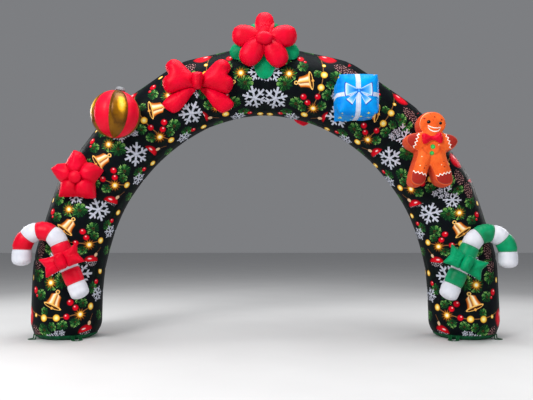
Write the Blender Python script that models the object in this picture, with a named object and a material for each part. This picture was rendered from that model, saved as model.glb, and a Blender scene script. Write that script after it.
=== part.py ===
# Inflatable Christmas arch: a printed cloth tube with filled ornaments sewn on its front.
# Metres, +Z up, the front faces -Y. The walk-through passage runs along Y.
import math

import bmesh
import bpy
from mathutils import Matrix, Vector
from mathutils.bvhtree import BVHTree

# ---- driving dimensions ----
SEAM_GAP = 0.0003            # gap between touching pieces

TUBE_RADIUS = 0.288
PANEL_LENGTH = 0.622         # centreline length of one of the ten tube panels
CROWN_HEIGHT = 2.198         # centreline height at the crown
LEAN_ANGLES = (77.6, 54.8, 36.4, 16.6, 1.0)   # panel directions from the crown down, degrees
SEAM_DRAW_IN = 0.010         # how far a cross seam pulls the cloth in
INNER_FILL = 0.019           # how far it swells past a bend of 20 degrees on the passage side
EDGE_SEAM_DRAW_IN = 0.004    # the same along the four lengthwise seams
EDGE_SEAM_ANGLES = (62.0, 118.0, 242.0, 298.0)  # from the front centre line, degrees
TUBE_SIDES = 28
PANEL_STEPS = 5              # rings in one panel

BASE_HEIGHT = 0.040          # green bottom panel of a leg
BASE_FLAT_RADIUS = 0.212
BASE_RIM_RADIUS = 0.258

LOOP_STRAND = 0.030          # webbing width
LOOP_THICKNESS = 0.003
LOOP_INNER = 0.016           # half the space between the two strands
LOOP_STRAIGHT = 0.048
LOOP_ANGLES = {              # about each leg's axis, degrees, 270 is straight to the front
    "tie_loop_1": (-1, 215.0), "tie_loop_2": (-1, 305.0),
    "tie_loop_3": (1, 235.0), "tie_loop_4": (1, 325.0)}

CANE_RADIUS = 0.075
CANE_HOOK_RADIUS = 0.152
CANE_DROP = 0.065            # straight end below the hook, without its round cap
CANE_SHAFT = 0.420
CANE_BANDS = 8
CANE_DRAW_IN = 0.006

BALL_RADIUS = 0.193
BALL_GORES = 8
GIFT_SIZE = 0.295

# ---- colours ----
RED = (0.80, 0.01, 0.04)
GREEN = (0.0, 0.28, 0.12)
LEAF_GREEN = (0.0, 0.20, 0.07)
DARK_PRINT = (0.006, 0.012, 0.016)
BASE_GREEN = (0.01, 0.12, 0.05)
BLUE = (0.0, 0.27, 0.85)
ORANGE = (0.82, 0.13, 0.02)
GREY = (0.35, 0.35, 0.36)


# ---- making pieces ----
def cloth_material(name, colour, metallic=0.0, roughness=0.6):
    material = bpy.data.materials.new(name)
    material.use_nodes = True
    shader = material.node_tree.nodes["Principled BSDF"]
    shader.inputs["Base Color"].default_value = (*colour, 1.0)
    shader.inputs["Metallic"].default_value = metallic
    shader.inputs["Roughness"].default_value = roughness
    return material


def add_object(name, shape, material):
    """Makes a named object from a bmesh, in triangles, with its faces pointing out."""
    bmesh.ops.triangulate(shape, faces=shape.faces)
    bmesh.ops.recalc_face_normals(shape, faces=shape.faces)
    mesh = bpy.data.meshes.new(name)
    shape.to_mesh(mesh)
    shape.free()
    mesh.shade_smooth()
    mesh.materials.append(material)
    thing = bpy.data.objects.new(name, mesh)
    parts.objects.link(thing)
    thing.parent = arch_origin
    return thing


def surface_of(thing):
    mesh = thing.data
    mesh.calc_loop_triangles()
    corners = [vertex.co for vertex in mesh.vertices]
    return BVHTree.FromPolygons(corners, [tuple(t.vertices) for t in mesh.loop_triangles])


def lay_against(shape, carriers, facing, spare=0.010):
    """Presses a cushion's rear against what carries it, where it would reach inside.

    facing is -1 on the front of the arch and 1 on its back. The cloth keeps a little of its
    thickness where it is squashed flat. The piece is then slid in until it meets a carrier."""
    bmesh.ops.triangulate(shape, faces=shape.faces)
    surfaces = [surface_of(carrier) for carrier in carriers]
    start = [vertex.co.copy() for vertex in shape.verts]
    depths = [point.y * facing for point in start]
    middle, half = (max(depths) + min(depths)) / 2, (max(depths) - min(depths)) / 2

    def press(gap):
        for vertex, point, depth in zip(shape.verts, start, depths):
            level = 1.0 + (depth - middle) / half
            for right, up in ((0, 0), (1, 0), (-1, 0), (0, 1), (0, -1)):
                far = Vector((point.x + right * 4 * gap, 3.0 * facing, point.z + up * 4 * gap))
                for surface in surfaces:
                    hit = surface.ray_cast(far, Vector((0.0, -facing, 0.0)))[0]
                    if hit is not None:
                        depth = max(depth, hit.y * facing + gap + spare * level)
            vertex.co.y = depth * facing
        return is_clear(shape, surfaces)

    gap = SEAM_GAP
    while gap < 0.02 and not press(gap):
        gap *= 1.5
    slide_to(shape, surfaces, Vector((0.0, -facing, 0.0)))


def is_clear(shape, surfaces):
    own = BVHTree.FromBMesh(shape)
    return not any(own.overlap(surface) for surface in surfaces)


def slide_to(shape, surfaces, way):
    """Slides a piece until it would touch a surface, and leaves the seam gap."""
    step, slid = 0.002, 0.0
    while step > SEAM_GAP / 3 and slid < 0.12:
        bmesh.ops.translate(shape, vec=way * step, verts=shape.verts)
        slid += step
        if not is_clear(shape, surfaces):
            bmesh.ops.translate(shape, vec=way * -step, verts=shape.verts)
            slid -= step
            step /= 2
    bmesh.ops.translate(shape, vec=way * -SEAM_GAP, verts=shape.verts)


def rolled_tube(stations, sides, place):
    """A sheet rolled into a tube: place(i, turn) gives the point at a station and a turn 0..1."""
    shape = bmesh.new()
    bmesh.ops.create_grid(shape, x_segments=stations - 1, y_segments=sides, size=0.5)
    for vertex in shape.verts:
        station = round((vertex.co.x + 0.5) * (stations - 1))
        vertex.co = place(station, (vertex.co.y + 0.5) % 1.0)
    bmesh.ops.remove_doubles(shape, verts=shape.verts, dist=0.00005)
    bmesh.ops.holes_fill(shape, edges=[e for e in shape.edges if e.is_boundary], sides=0)
    return shape


def round_outline(points, steps, cut=0.25):
    """Even steps round an outline, counter-clockwise, its corners cut off at a share of each side."""
    corners = [Vector(point) for point in points]
    if sum(a.cross(b) for a, b in zip(corners, corners[1:] + corners[:1])) < 0:
        corners.reverse()
    corners = [a.lerp(b, share) for a, b in zip(corners, corners[1:] + corners[:1])
               for share in (cut, 1 - cut)]
    sides = [(a, b, (b - a).length) for a, b in zip(corners, corners[1:] + corners[:1])]
    step = sum(length for _, _, length in sides) / steps
    outline, walked = [], 0.0
    for a, b, length in sides:
        while len(outline) < steps and len(outline) * step <= walked + length:
            outline.append(a.lerp(b, (len(outline) * step - walked) / length))
        walked += length
    return outline


def circle(radius, steps, tall=1.0):
    turns = [2 * math.pi * step / steps for step in range(steps)]
    return [Vector((math.cos(turn), math.sin(turn) * tall)) * radius for turn in turns]


def to_side(spot, a, b):
    share = max(0.0, min(1.0, (spot - a).dot(b - a) / (b - a).length_squared))
    return (spot - a.lerp(b, share)).length


def filled_cushion(outline, half, rings=6, crown=0.5, span=0.10, gusset=0.0, crease=None):
    """Two panels sewn round an outline that its middle can see, and filled. It faces -Y.

    half is half its thickness, which the cloth reaches span in from the rim, and crown how square
    that rise is. gusset is the share of half that a side band takes up, for an odd number of
    rings. crease(spot) is the share of the thickness that sewn creases take away."""
    shape = bmesh.new()
    bmesh.ops.create_uvsphere(shape, u_segments=len(outline), v_segments=rings, radius=1.0)
    sides = list(zip(outline, outline[1:] + outline[:1]))
    for vertex in shape.verts:
        x, y, z = vertex.co
        # the sphere's columns may start half a step round
        corner = math.floor(math.atan2(y, x) / (2 * math.pi) * len(outline) + 0.25) % len(outline)
        spot = outline[corner] * math.hypot(x, y)
        inside = min(1.0, min(to_side(spot, a, b) for a, b in sides) / span)
        rise = (1.0 - (1.0 - inside) ** 2) ** crown if abs(z) > 1e-6 else 0.0
        depth = half * (gusset + (1.0 - gusset) * rise)
        if crease:
            depth *= 1.0 - crease(spot)
        vertex.co = Vector((spot.x, -math.copysign(depth, z), spot.y))
    return shape


def put(shape, where, turn=0.0, lean=0.0):
    """Turns a piece in its own plane, leans its top back, and moves it to its place."""
    spin = Matrix.Rotation(math.radians(-turn), 4, "Y")
    tip = Matrix.Rotation(math.radians(-lean), 4, "X")
    bmesh.ops.transform(shape, matrix=Matrix.Translation(where) @ tip @ spin, verts=shape.verts)
    return shape


# ---- scene ----
for thing in list(bpy.data.objects):
    bpy.data.objects.remove(thing)
parts = bpy.data.collections.new("inflatable_arch")
bpy.context.scene.collection.children.link(parts)
arch_origin = bpy.data.objects.new("arch_origin", None)
parts.objects.link(arch_origin)

red_cloth = cloth_material("red_cloth", RED)
green_cloth = cloth_material("green_cloth", GREEN)


# ---- arch tube: ten panels sewn end to end ----
def centreline():
    """The panel corners of the right half, from the crown down to the foot."""
    corners = [Vector((0.0, 0.0, CROWN_HEIGHT))]
    for lean in LEAN_ANGLES:
        angle = math.radians(lean)
        step = Vector((math.sin(angle), 0.0, -math.cos(angle))) * PANEL_LENGTH
        corners.append(corners[-1] + step)
    # the last panel stops at the bottom seam
    share = (corners[-2].z - BASE_HEIGHT) / (corners[-2].z - corners[-1].z)
    corners[-1] = corners[-2].lerp(corners[-1], share)
    return corners


right_half = centreline()
LEG_X = right_half[-1].x
tube_path = [Vector((-c.x, 0.0, c.z)) for c in reversed(right_half)] + right_half[1:]
# how sharply the path turns at each seam, none at the two feet
seam_bends = [0.0] + [math.degrees((b - a).angle(c - b))
                      for a, b, c in zip(tube_path, tube_path[1:], tube_path[2:])] + [0.0]
FOOT_ROUND = 0.10            # height over which the tube's foot turns in to the base


def tube_section(turn):
    """The cloth's distance from the centreline, as a share: round, drawn in at its seams."""
    degrees = turn * 360.0
    dip = sum(math.exp(-((degrees - seam) / 9.0) ** 2) for seam in EDGE_SEAM_ANGLES)
    return 1.0 - EDGE_SEAM_DRAW_IN / TUBE_RADIUS * dip


def seam_plane(panel, other):
    """The direction that a panel's end seam faces: half way between it and the next one's."""
    along = (tube_path[panel + 1] - tube_path[panel]).normalized()
    if 0 <= other < len(tube_path) - 1:
        return (along + (tube_path[other + 1] - tube_path[other]).normalized()).normalized()
    return Vector((0.0, 0.0, 1.0 if panel == 0 else -1.0))


def tube_point(station, turn):
    panel, step = divmod(station, PANEL_STEPS)
    if panel == len(tube_path) - 1:
        panel, step = panel - 1, PANEL_STEPS
    start, end = tube_path[panel], tube_path[panel + 1]
    length = (end - start).length
    along = (end - start) / length
    share = 0.5 - 0.5 * math.cos(math.pi * step / PANEL_STEPS)
    outward = Vector((-along.z, 0.0, along.x))
    # the cloth pulls in fast beside a cross seam and swells between two of them
    swell = 1.0 - abs(2 * share - 1.0) ** 6
    inner = max(0.0, -math.sin(2 * math.pi * turn))
    radius = TUBE_RADIUS - SEAM_DRAW_IN * (1.0 - swell) * (1.0 - inner)
    bend = seam_bends[panel if share < 0.5 else panel + 1]
    radius += INNER_FILL * bend / 20.0 * inner * (2 * share - 1.0) ** 2
    height = start.lerp(end, share).z - BASE_HEIGHT
    if panel in (0, len(tube_path) - 2) and height < FOOT_ROUND:
        turn_in = (1.0 - height / FOOT_ROUND) ** 2
        radius += (BASE_RIM_RADIUS - radius) * turn_in
    radius *= tube_section(turn)
    angle = 2 * math.pi * turn
    across = (Vector((0.0, -1.0, 0.0)) * math.cos(angle) + outward * math.sin(angle)) * radius
    # each line of the cloth runs from one seam's plane to the other's
    low_plane, high_plane = seam_plane(panel, panel - 1), seam_plane(panel, panel + 1)
    low = -across.dot(low_plane) / along.dot(low_plane)
    high = length - across.dot(high_plane) / along.dot(high_plane)
    return start + along * (low + (high - low) * share) + across


tube_shape = rolled_tube((len(tube_path) - 1) * PANEL_STEPS + 1, TUBE_SIDES, tube_point)
for vertex in tube_shape.verts:
    if vertex.co.z < BASE_HEIGHT + 0.001:
        vertex.co.z = BASE_HEIGHT + SEAM_GAP
arch_tube = add_object("arch_tube", tube_shape, cloth_material("arch_print", DARK_PRINT))


# ---- foot bases: the green bottom panels ----
def foot_base(name, x):
    shape = bmesh.new()
    bmesh.ops.create_cone(shape, cap_ends=True, segments=TUBE_SIDES, radius1=BASE_FLAT_RADIUS,
                          radius2=BASE_RIM_RADIUS, depth=BASE_HEIGHT)
    walls = [e for e in shape.edges if abs(e.verts[0].co.z - e.verts[1].co.z) > 0.01]
    made = bmesh.ops.subdivide_edges(shape, edges=walls, cuts=2)
    for vertex in [v for v in made["geom_inner"] if isinstance(v, bmesh.types.BMVert)]:
        share = vertex.co.z / BASE_HEIGHT + 0.5
        radius = BASE_FLAT_RADIUS + (BASE_RIM_RADIUS - BASE_FLAT_RADIUS) * math.sin(share * math.pi / 2)
        vertex.co.xy = vertex.co.xy.normalized() * radius
    bmesh.ops.translate(shape, vec=Vector((x, 0.0, BASE_HEIGHT / 2)), verts=shape.verts)
    return add_object(name, shape, cloth_material("base_cloth", BASE_GREEN))


base_left = foot_base("foot_base_left", -LEG_X)
base_right = foot_base("foot_base_right", LEG_X)


# ---- tie loops: webbing sewn in the bottom seam, lying on the floor ----
def loop_route(length):
    """Where webbing lies at a length from the seam: down the foot, then out along the floor."""
    fall = 0.040
    radius = BASE_RIM_RADIUS + 0.005 + max(0.0, length - fall) + 0.10 * min(length, fall)
    drop = BASE_HEIGHT - 0.003 - LOOP_THICKNESS / 2
    share = min(1.0, length / (fall + 0.012))
    height = LOOP_THICKNESS / 2 + drop * (0.5 + 0.5 * math.cos(math.pi * share))
    return radius, height


def tie_loop(name, side, degrees):
    middle = LOOP_INNER + LOOP_STRAND / 2
    arc = math.pi * middle
    reach = LOOP_STRAIGHT * 2 + arc
    stations = 25

    def place(station, turn):
        travelled = reach * station / (stations - 1)
        corner = round(turn * 4) % 4
        inward = (-0.5 if corner in (0, 3) else 0.5) * LOOP_STRAND
        up = (-0.5 if corner in (0, 1) else 0.5) * LOOP_THICKNESS
        if travelled < LOOP_STRAIGHT:
            out, across = travelled, -(middle - inward)
        elif travelled > LOOP_STRAIGHT + arc:
            out, across = reach - travelled, middle - inward
        else:
            angle = (travelled - LOOP_STRAIGHT) / middle
            out = LOOP_STRAIGHT + math.sin(angle) * (middle - inward)
            across = -math.cos(angle) * (middle - inward)
        radius, height = loop_route(out)
        before, after = loop_route(max(out - 0.002, 0.0)), loop_route(out + 0.002)
        slope = Vector((after[0] - before[0], after[1] - before[1])).normalized()
        radius -= slope.y * up
        height += slope.x * up
        return Vector((radius, across, height))

    shape = rolled_tube(stations, 4, place)
    turn = Matrix.Rotation(math.radians(degrees), 4, "Z")
    matrix = Matrix.Translation((side * LEG_X, 0.0, 0.0)) @ turn
    bmesh.ops.transform(shape, matrix=matrix, verts=shape.verts)
    bmesh.ops.triangulate(shape, faces=shape.faces)
    foot = [surface_of(arch_tube), surface_of(base_left if side < 0 else base_right)]
    slide_to(shape, foot, turn @ Vector((-1.0, 0.0, 0.0)))
    return add_object(name, shape, cloth_material("webbing", LEAF_GREEN))


for loop_name, (loop_side, loop_degrees) in LOOP_ANGLES.items():
    tie_loop(loop_name, loop_side, loop_degrees)


# ---- candy canes: filled striped tubes with a round hook ----
def cane_path(tilt, side):
    """Even stations from the hook's end, over the hook and down the shaft, facing -Y."""
    turn = math.pi - math.radians(tilt)
    hook = CANE_HOOK_RADIUS * turn
    total = CANE_DROP + hook + CANE_SHAFT

    def point(length):
        if length < CANE_DROP:
            spot = Vector((-CANE_HOOK_RADIUS, 0.0, length - CANE_DROP))
            return spot, Vector((0.0, 0.0, 1.0))
        if length < CANE_DROP + hook:
            angle = math.pi - (length - CANE_DROP) / CANE_HOOK_RADIUS
            spot = Vector((math.cos(angle), 0.0, math.sin(angle))) * CANE_HOOK_RADIUS
            return spot, Vector((math.sin(angle), 0.0, -math.cos(angle)))
        angle = math.radians(tilt)
        spot = Vector((math.cos(angle), 0.0, math.sin(angle))) * CANE_HOOK_RADIUS
        along = Vector((math.sin(angle), 0.0, -math.cos(angle)))
        return spot + along * (length - CANE_DROP - hook), along

    def mirrored(length):
        spot, along = point(length)
        return Vector((spot.x * -side, 0.0, spot.z)), Vector((along.x * -side, 0.0, along.z))

    return total, mirrored


def candy_cane(name, side, hook_centre, tilt, material):
    total, path = cane_path(tilt, side)
    sides, band_steps = 12, 3
    ends = (0.15, 0.60, 0.88)      # rings of a round end, as shares of the radius
    stations = CANE_BANDS * band_steps + 1 + 2 * len(ends)

    def place(station, turn):
        step = station - len(ends)
        body = min(max(step, 0), CANE_BANDS * band_steps)
        spot, along = path(total * body / (CANE_BANDS * band_steps))
        band = body / band_steps % 1.0
        swell = 1.0 - abs(2 * band - 1.0) ** 4
        radius = CANE_RADIUS - CANE_DRAW_IN * (1.0 - swell)
        if step < 0 or step > CANE_BANDS * band_steps:
            ring = -step if step < 0 else step - CANE_BANDS * band_steps
            share = ends[len(ends) - ring]
            beyond = CANE_RADIUS * 0.80 * math.sqrt(1.0 - share * share)
            spot = spot + along * (-beyond if step < 0 else beyond)
            radius = CANE_RADIUS * share
        angle = 2 * math.pi * turn
        across = Vector((along.z, 0.0, -along.x))
        return spot + (across * math.cos(angle) + Vector((0.0, 1.0, 0.0)) * math.sin(angle)) * radius

    shape = rolled_tube(stations, sides, place)
    bmesh.ops.translate(shape, vec=Vector(hook_centre), verts=shape.verts)
    lay_against(shape, [arch_tube], -1)
    return add_object(name, shape, material)


CANE_DEPTH = -0.345          # the canes' centre plane, in front of the leg's
cane_red = candy_cane("cane_red", -1, (-1.779, CANE_DEPTH, 0.729), 23.7, red_cloth)
cane_green = candy_cane("cane_green", 1, (1.774, CANE_DEPTH, 0.711), 25.5, green_cloth)

# ---- the small bow on each cane ----
CANE_LOBE = ((0.008, 0.052), (0.036, 0.061), (0.100, 0.070), (0.163, 0.089), (0.133, 0.006),
             (0.163, -0.077), (0.100, -0.066), (0.036, -0.063), (0.008, -0.050))   # out, up
CANE_KNOT = ((0.042, 0.030), (0.030, 0.066), (-0.030, 0.066), (-0.042, 0.030),
             (-0.042, -0.030), (-0.030, -0.066), (0.030, -0.066), (0.042, -0.030))


def centred(points, middle=None):
    if middle is None:
        middle = sum((Vector(point) for point in points), Vector((0.0, 0.0))) / len(points)
    return Vector(middle), [Vector(point) - Vector(middle) for point in points]


def lobe(points, mirror, half, turn, where, steps=18, rings=6, cut=0.25, span=0.10, middle=None):
    """A filled bow lobe: points are out and up from the knot, mirror is -1 on the left."""
    middle, outline = centred(points, middle)
    outline = [(out * mirror, up) for out, up in outline]
    shape = filled_cushion(round_outline(outline, steps, cut), half, rings, span=span)
    bmesh.ops.translate(shape, vec=Vector((middle.x * mirror, 0.0, middle.y)), verts=shape.verts)
    return put(shape, where, turn)


def cane_bow(prefix, cane, where, turn, material):
    carriers = [arch_tube, cane]
    lobes = []
    for side_name, mirror in (("left", -1), ("right", 1)):
        shape = lobe(CANE_LOBE, mirror, 0.050, turn, where, 24, cut=0.10, span=0.06)
        lay_against(shape, carriers, -1)
        lobes.append(add_object(prefix + "_" + side_name, shape, material))
        carriers.append(lobes[-1])
    knot = filled_cushion(round_outline(CANE_KNOT, 12), 0.048, span=0.045)
    put(knot, Vector(where) + Vector((0.0, -0.035, 0.0)), turn)
    lay_against(knot, carriers, -1)
    add_object(prefix + "_knot", knot, material)


cane_bow("cane_red_bow", cane_red, (-1.577, -0.455, 0.646), 24.0, red_cloth)
cane_bow("cane_green_bow", cane_green, (1.555, -0.455, 0.630), -27.0, green_cloth)


# ---- star: five fat arms, uneven as sewn, with creases between them, and a button ----
STAR_PLACE = (-1.520, -0.318, 1.312)
STAR_OUTLINE = (             # right, up from its middle
    (-0.018, 0.217), (0.037, 0.202), (0.069, 0.166), (0.088, 0.122), (0.133, 0.116), (0.189, 0.086),
    (0.225, 0.056), (0.189, 0.002), (0.155, -0.045), (0.161, -0.110), (0.164, -0.165),
    (0.141, -0.174), (0.077, -0.172), (0.015, -0.158), (-0.066, -0.161), (-0.138, -0.161),
    (-0.125, -0.083), (-0.122, -0.045), (-0.154, -0.009), (-0.208, 0.069), (-0.146, 0.110),
    (-0.087, 0.115), (-0.058, 0.164))
STAR_VALLEYS = ((0.088, 0.122), (0.155, -0.045), (0.015, -0.158), (-0.122, -0.045), (-0.087, 0.115))


def star_crease(spot):
    """Deepest at each valley of the outline, running in to the button, where it is drawn down."""
    middle = Vector((0.016, -0.005))
    crease = max(math.exp(-(to_side(spot, middle, Vector(valley)) / 0.020) ** 2)
                 * min(1.0, (spot - middle).length / 0.10) for valley in STAR_VALLEYS)
    return 0.40 * crease + 0.28 * math.exp(-((spot - middle).length / 0.055) ** 2)


star_shape = filled_cushion(round_outline(STAR_OUTLINE, 48, 0.12), 0.088, 10, span=0.105,
                            crease=star_crease)
put(star_shape, STAR_PLACE)
lay_against(star_shape, [arch_tube], -1)
star_cushion = add_object("star_cushion", star_shape, red_cloth)
star_button = filled_cushion(circle(0.047, 12), 0.022, span=0.047)
put(star_button, (STAR_PLACE[0] + 0.014, -0.400, STAR_PLACE[2] - 0.005))
lay_against(star_button, [star_cushion], -1, spare=0.006)
add_object("star_button", star_button, red_cloth)


# ---- ball: eight gores drawn in at their seams, and a cap ----
BALL_PLACE = Vector((-1.180, -0.440, 1.798))
BALL_TURN = Matrix.Rotation(math.radians(10.0), 4, "Y")
ball_shape = bmesh.new()
bmesh.ops.create_uvsphere(ball_shape, u_segments=BALL_GORES * 3, v_segments=12, radius=BALL_RADIUS)
for vertex in ball_shape.verts:
    gore = (math.atan2(vertex.co.y, vertex.co.x) / (2 * math.pi) * BALL_GORES) % 1.0
    seam = math.exp(-(min(gore, 1 - gore) / 0.14) ** 2)
    level = math.sqrt(max(0.0, 1.0 - (vertex.co.z / BALL_RADIUS) ** 2))
    vertex.co.x *= 1.0 - 0.030 * seam
    vertex.co.y *= 1.0 - 0.030 * seam
    vertex.co.z *= 0.97 + 0.03 * level
ball_matrix = Matrix.Translation(BALL_PLACE) @ BALL_TURN @ Matrix.Rotation(math.radians(-6.0), 4, "Z")
bmesh.ops.transform(ball_shape, matrix=ball_matrix, verts=ball_shape.verts)
lay_against(ball_shape, [arch_tube], -1)
bauble_ball = add_object("bauble_ball", ball_shape, red_cloth)
cap_shape = bmesh.new()
bmesh.ops.create_cone(cap_shape, cap_ends=True, segments=12, radius1=0.038, radius2=0.030, depth=0.030)
cap_lift = BALL_RADIUS * 0.97 + 0.0155
cap_matrix = Matrix.Translation(BALL_PLACE) @ BALL_TURN @ Matrix.Translation((0, 0, cap_lift))
bmesh.ops.transform(cap_shape, matrix=cap_matrix, verts=cap_shape.verts)
add_object("bauble_cap", cap_shape, cloth_material("cap_cloth", GREY, 0.6, 0.4))

# ---- large bow: heart-shaped loops, tails and a knot, on the front and on the back ----
BOW_LOOP = ((0.020, 0.050), (0.085, 0.112), (0.150, 0.182), (0.205, 0.194), (0.252, 0.167),
            (0.271, 0.115), (0.212, 0.055), (0.271, 0.045), (0.293, 0.005), (0.278, -0.055),
            (0.238, -0.095), (0.150, -0.068), (0.080, -0.045), (0.020, -0.035))         # out, up
BOW_TAIL = ((0.020, -0.030), (0.100, -0.030), (0.226, -0.087), (0.300, -0.167), (0.276, -0.202),
            (0.243, -0.228), (0.191, -0.252), (0.120, -0.198), (0.050, -0.090), (0.015, -0.060))
BOW_KNOT = ((0.048, 0.045), (0.040, 0.070), (-0.040, 0.070), (-0.048, 0.045),
            (-0.036, -0.045), (-0.026, -0.068), (0.026, -0.068), (0.036, -0.045))
BOW_PLACE = Vector((-0.545, 0.0, 2.082))


def large_bow(prefix, facing):
    """The bow faces -Y for facing -1. On the back the same bow is turned half round."""
    half_turn = Matrix.Rotation(math.pi if facing > 0 else 0.0, 4, "Z")
    carriers = [arch_tube]

    def seat(kind, shape, material=red_cloth):
        bmesh.ops.transform(shape, matrix=half_turn, verts=shape.verts)
        lay_against(shape, carriers, facing)
        carriers.append(add_object(prefix + "_" + kind, shape, material))

    for side_name, mirror in (("left", -1), ("right", 1)):
        seat("tail_" + side_name, lobe(BOW_TAIL, mirror, 0.045, 0.0,
                                       BOW_PLACE + Vector((0.0, -0.300, 0.0)), 20, span=0.06))
    for side_name, mirror in (("left", -1), ("right", 1)):
        seat("loop_" + side_name, lobe(BOW_LOOP, mirror, 0.072, 0.0,
                                       BOW_PLACE + Vector((0.0, -0.325, 0.0)), 30, 8, span=0.085,
                                       middle=(0.150, 0.050)))
    knot = filled_cushion(round_outline(BOW_KNOT, 14), 0.055, span=0.045)
    seat("knot", put(knot, BOW_PLACE + Vector((0.0, -0.385, 0.0))))


large_bow("bow_front", -1)
large_bow("bow_back", 1)

# ---- flower on the crown: five leaves under five petals, and a button ----
FLOWER_PLACE = Vector((-0.005, 0.0, 2.448))
PETALS = (   # angle, from its root to its tip along that angle, width, depth, lean back
    (90.0, -0.040, 0.262, 0.205, -0.290, 14.0), (173.0, 0.022, 0.270, 0.212, -0.320, 0.0),
    (6.0, 0.022, 0.268, 0.212, -0.320, 0.0), (231.0, 0.022, 0.277, 0.212, -0.345, 0.0),
    (304.0, 0.022, 0.279, 0.206, -0.345, 0.0))
LEAVES = (
    (203.0, 0.022, 0.312, 0.215, -0.250, 0.0), (336.5, 0.022, 0.310, 0.215, -0.250, 0.0),
    (270.0, 0.022, 0.332, 0.235, -0.280, 0.0), (127.0, -0.030, 0.176, 0.130, -0.200, 10.0),
    (52.0, -0.028, 0.177, 0.132, -0.200, 11.0))


def petal_outline(start, reach, width, tip, root):
    """A petal or leaf along +X, from its root to its tip; tip is how pointed it is."""
    points = []
    for step in range(16):
        angle = 2 * math.pi * step / 16
        along = 0.5 + 0.5 * math.cos(angle)
        breadth = abs(math.sin(angle)) ** 0.8 * (root + (1 - root) * along) * (1 - tip * along ** 3)
        points.append((start + along * (reach - start),
                       math.copysign(breadth, math.sin(angle)) * width / 2))
    return points


carried = [arch_tube]
flower_shapes = [("flower_leaf", LEAVES, 0.25, 0.55, 0.040, cloth_material("leaf_cloth", LEAF_GREEN)),
                 ("flower_petal", PETALS, 0.05, 0.50, 0.064, red_cloth)]
for kind, table, tip, root, half, material in flower_shapes:
    for number, (angle, start, reach, width, depth, lean) in enumerate(table, 1):
        outline = petal_outline(start, reach, width, tip, root)
        middle, outline = centred(outline)
        shape = filled_cushion(round_outline(outline, 18), half, span=0.080)
        bmesh.ops.translate(shape, vec=Vector((middle.x, 0.0, middle.y)), verts=shape.verts)
        put(shape, FLOWER_PLACE + Vector((0.0, depth, 0.0)), angle, lean)
        lay_against(shape, carried, -1)
        carried.append(add_object("{}_{}".format(kind, number), shape, material))
flower_button = filled_cushion(circle(0.067, 14, 0.76), 0.040, span=0.055)
put(flower_button, FLOWER_PLACE + Vector((-0.002, -0.400, -0.024)))
lay_against(flower_button, carried, -1)
add_object("flower_button", flower_button, red_cloth)

# ---- gift: a filled cube, its faces crowned and its edges drawn in ----
GIFT_PLACE = Vector((0.724, -0.4095, 1.9405))
gift_shape = bmesh.new()
bmesh.ops.create_cube(gift_shape, size=1.0)
bmesh.ops.subdivide_edges(gift_shape, edges=gift_shape.edges, cuts=4, use_grid_fill=True)
for vertex in gift_shape.verts:
    spot = vertex.co * 2
    crowned = Vector()
    for axis in range(3):
        others = [1.0 - abs(spot[(axis + k) % 3]) ** 2.5 for k in (1, 2)]
        crowned[axis] = spot[axis] * (0.500 + 0.050 * others[0] * others[1]
                                      - 0.020 * (others[0] + others[1]) / 2 * abs(spot[axis]) ** 4)
    vertex.co = crowned * GIFT_SIZE
put(gift_shape, GIFT_PLACE)
lay_against(gift_shape, [arch_tube], -1)
add_object("gift_box", gift_shape, cloth_material("gift_cloth", BLUE))

# ---- gingerbread figure: a filled figure with a side gusset, and its bow tie ----
FIGURE_PLACE = Vector((1.293, -0.385, 1.509))
FIGURE_OUTLINE = (           # right, up from the belly's middle
    (0.122, 0.137), (0.190, 0.121), (0.228, 0.076), (0.199, 0.031), (0.170, 0.012), (0.118, -0.010),
    (0.150, -0.112), (0.177, -0.198), (0.174, -0.266), (0.112, -0.285), (0.048, -0.250),
    (0.030, -0.176), (-0.006, -0.100), (-0.024, -0.187), (-0.043, -0.255), (-0.093, -0.285),
    (-0.153, -0.266), (-0.154, -0.208), (-0.126, -0.112), (-0.086, -0.004), (-0.124, 0.010),
    (-0.171, 0.042), (-0.191, 0.087), (-0.167, 0.128), (-0.074, 0.146), (-0.055, 0.149),
    (-0.078, 0.180), (-0.084, 0.222), (-0.068, 0.268), (-0.034, 0.299), (0.022, 0.311),
    (0.078, 0.299), (0.114, 0.268), (0.132, 0.222), (0.126, 0.180), (0.096, 0.147))
FIGURE_MIDDLE = (0.012, 0.066)


figure_middle, figure_outline = centred(FIGURE_OUTLINE, FIGURE_MIDDLE)
figure_shape = filled_cushion(round_outline(figure_outline, 72), 0.100, 9, crown=0.5, span=0.050,
                              gusset=0.74)
bmesh.ops.translate(figure_shape, vec=Vector((figure_middle.x, 0.0, figure_middle.y)),
                    verts=figure_shape.verts)
put(figure_shape, FIGURE_PLACE)
lay_against(figure_shape, [arch_tube], -1)
figure_body = add_object("gingerbread_body", figure_shape, cloth_material("ginger_cloth", ORANGE))
TIE_OUTLINE = ((0.080, 0.038), (0.055, 0.044), (0.012, 0.024), (-0.012, 0.024), (-0.055, 0.044),
               (-0.080, 0.038), (-0.080, -0.038), (-0.055, -0.044), (-0.012, -0.024),
               (0.012, -0.024), (0.055, -0.044), (0.080, -0.038))
tie_shape = filled_cushion(round_outline(TIE_OUTLINE, 20), 0.026, span=0.035)
put(tie_shape, FIGURE_PLACE + Vector((0.010, -0.100, 0.092)), turn=3.0)
lay_against(tie_shape, [figure_body], -1)
add_object("gingerbread_bow_tie", tie_shape, red_cloth)

# ---- stand the arch centred over its origin ----
everything = [thing.matrix_world @ vertex.co for thing in parts.objects if thing.type == "MESH"
              for vertex in thing.data.vertices]
low = Vector([min(point[axis] for point in everything) for axis in range(3)])
high = Vector([max(point[axis] for point in everything) for axis in range(3)])
arch_origin.location = (-(low.x + high.x) / 2, -(low.y + high.y) / 2, -low.z)
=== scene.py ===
# A walk-through inflatable arch: a printed tube of ten panels with filled ornaments sewn on.
# Metres, +Z up, the front faces -Y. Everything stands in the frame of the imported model.
import math
import random

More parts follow.
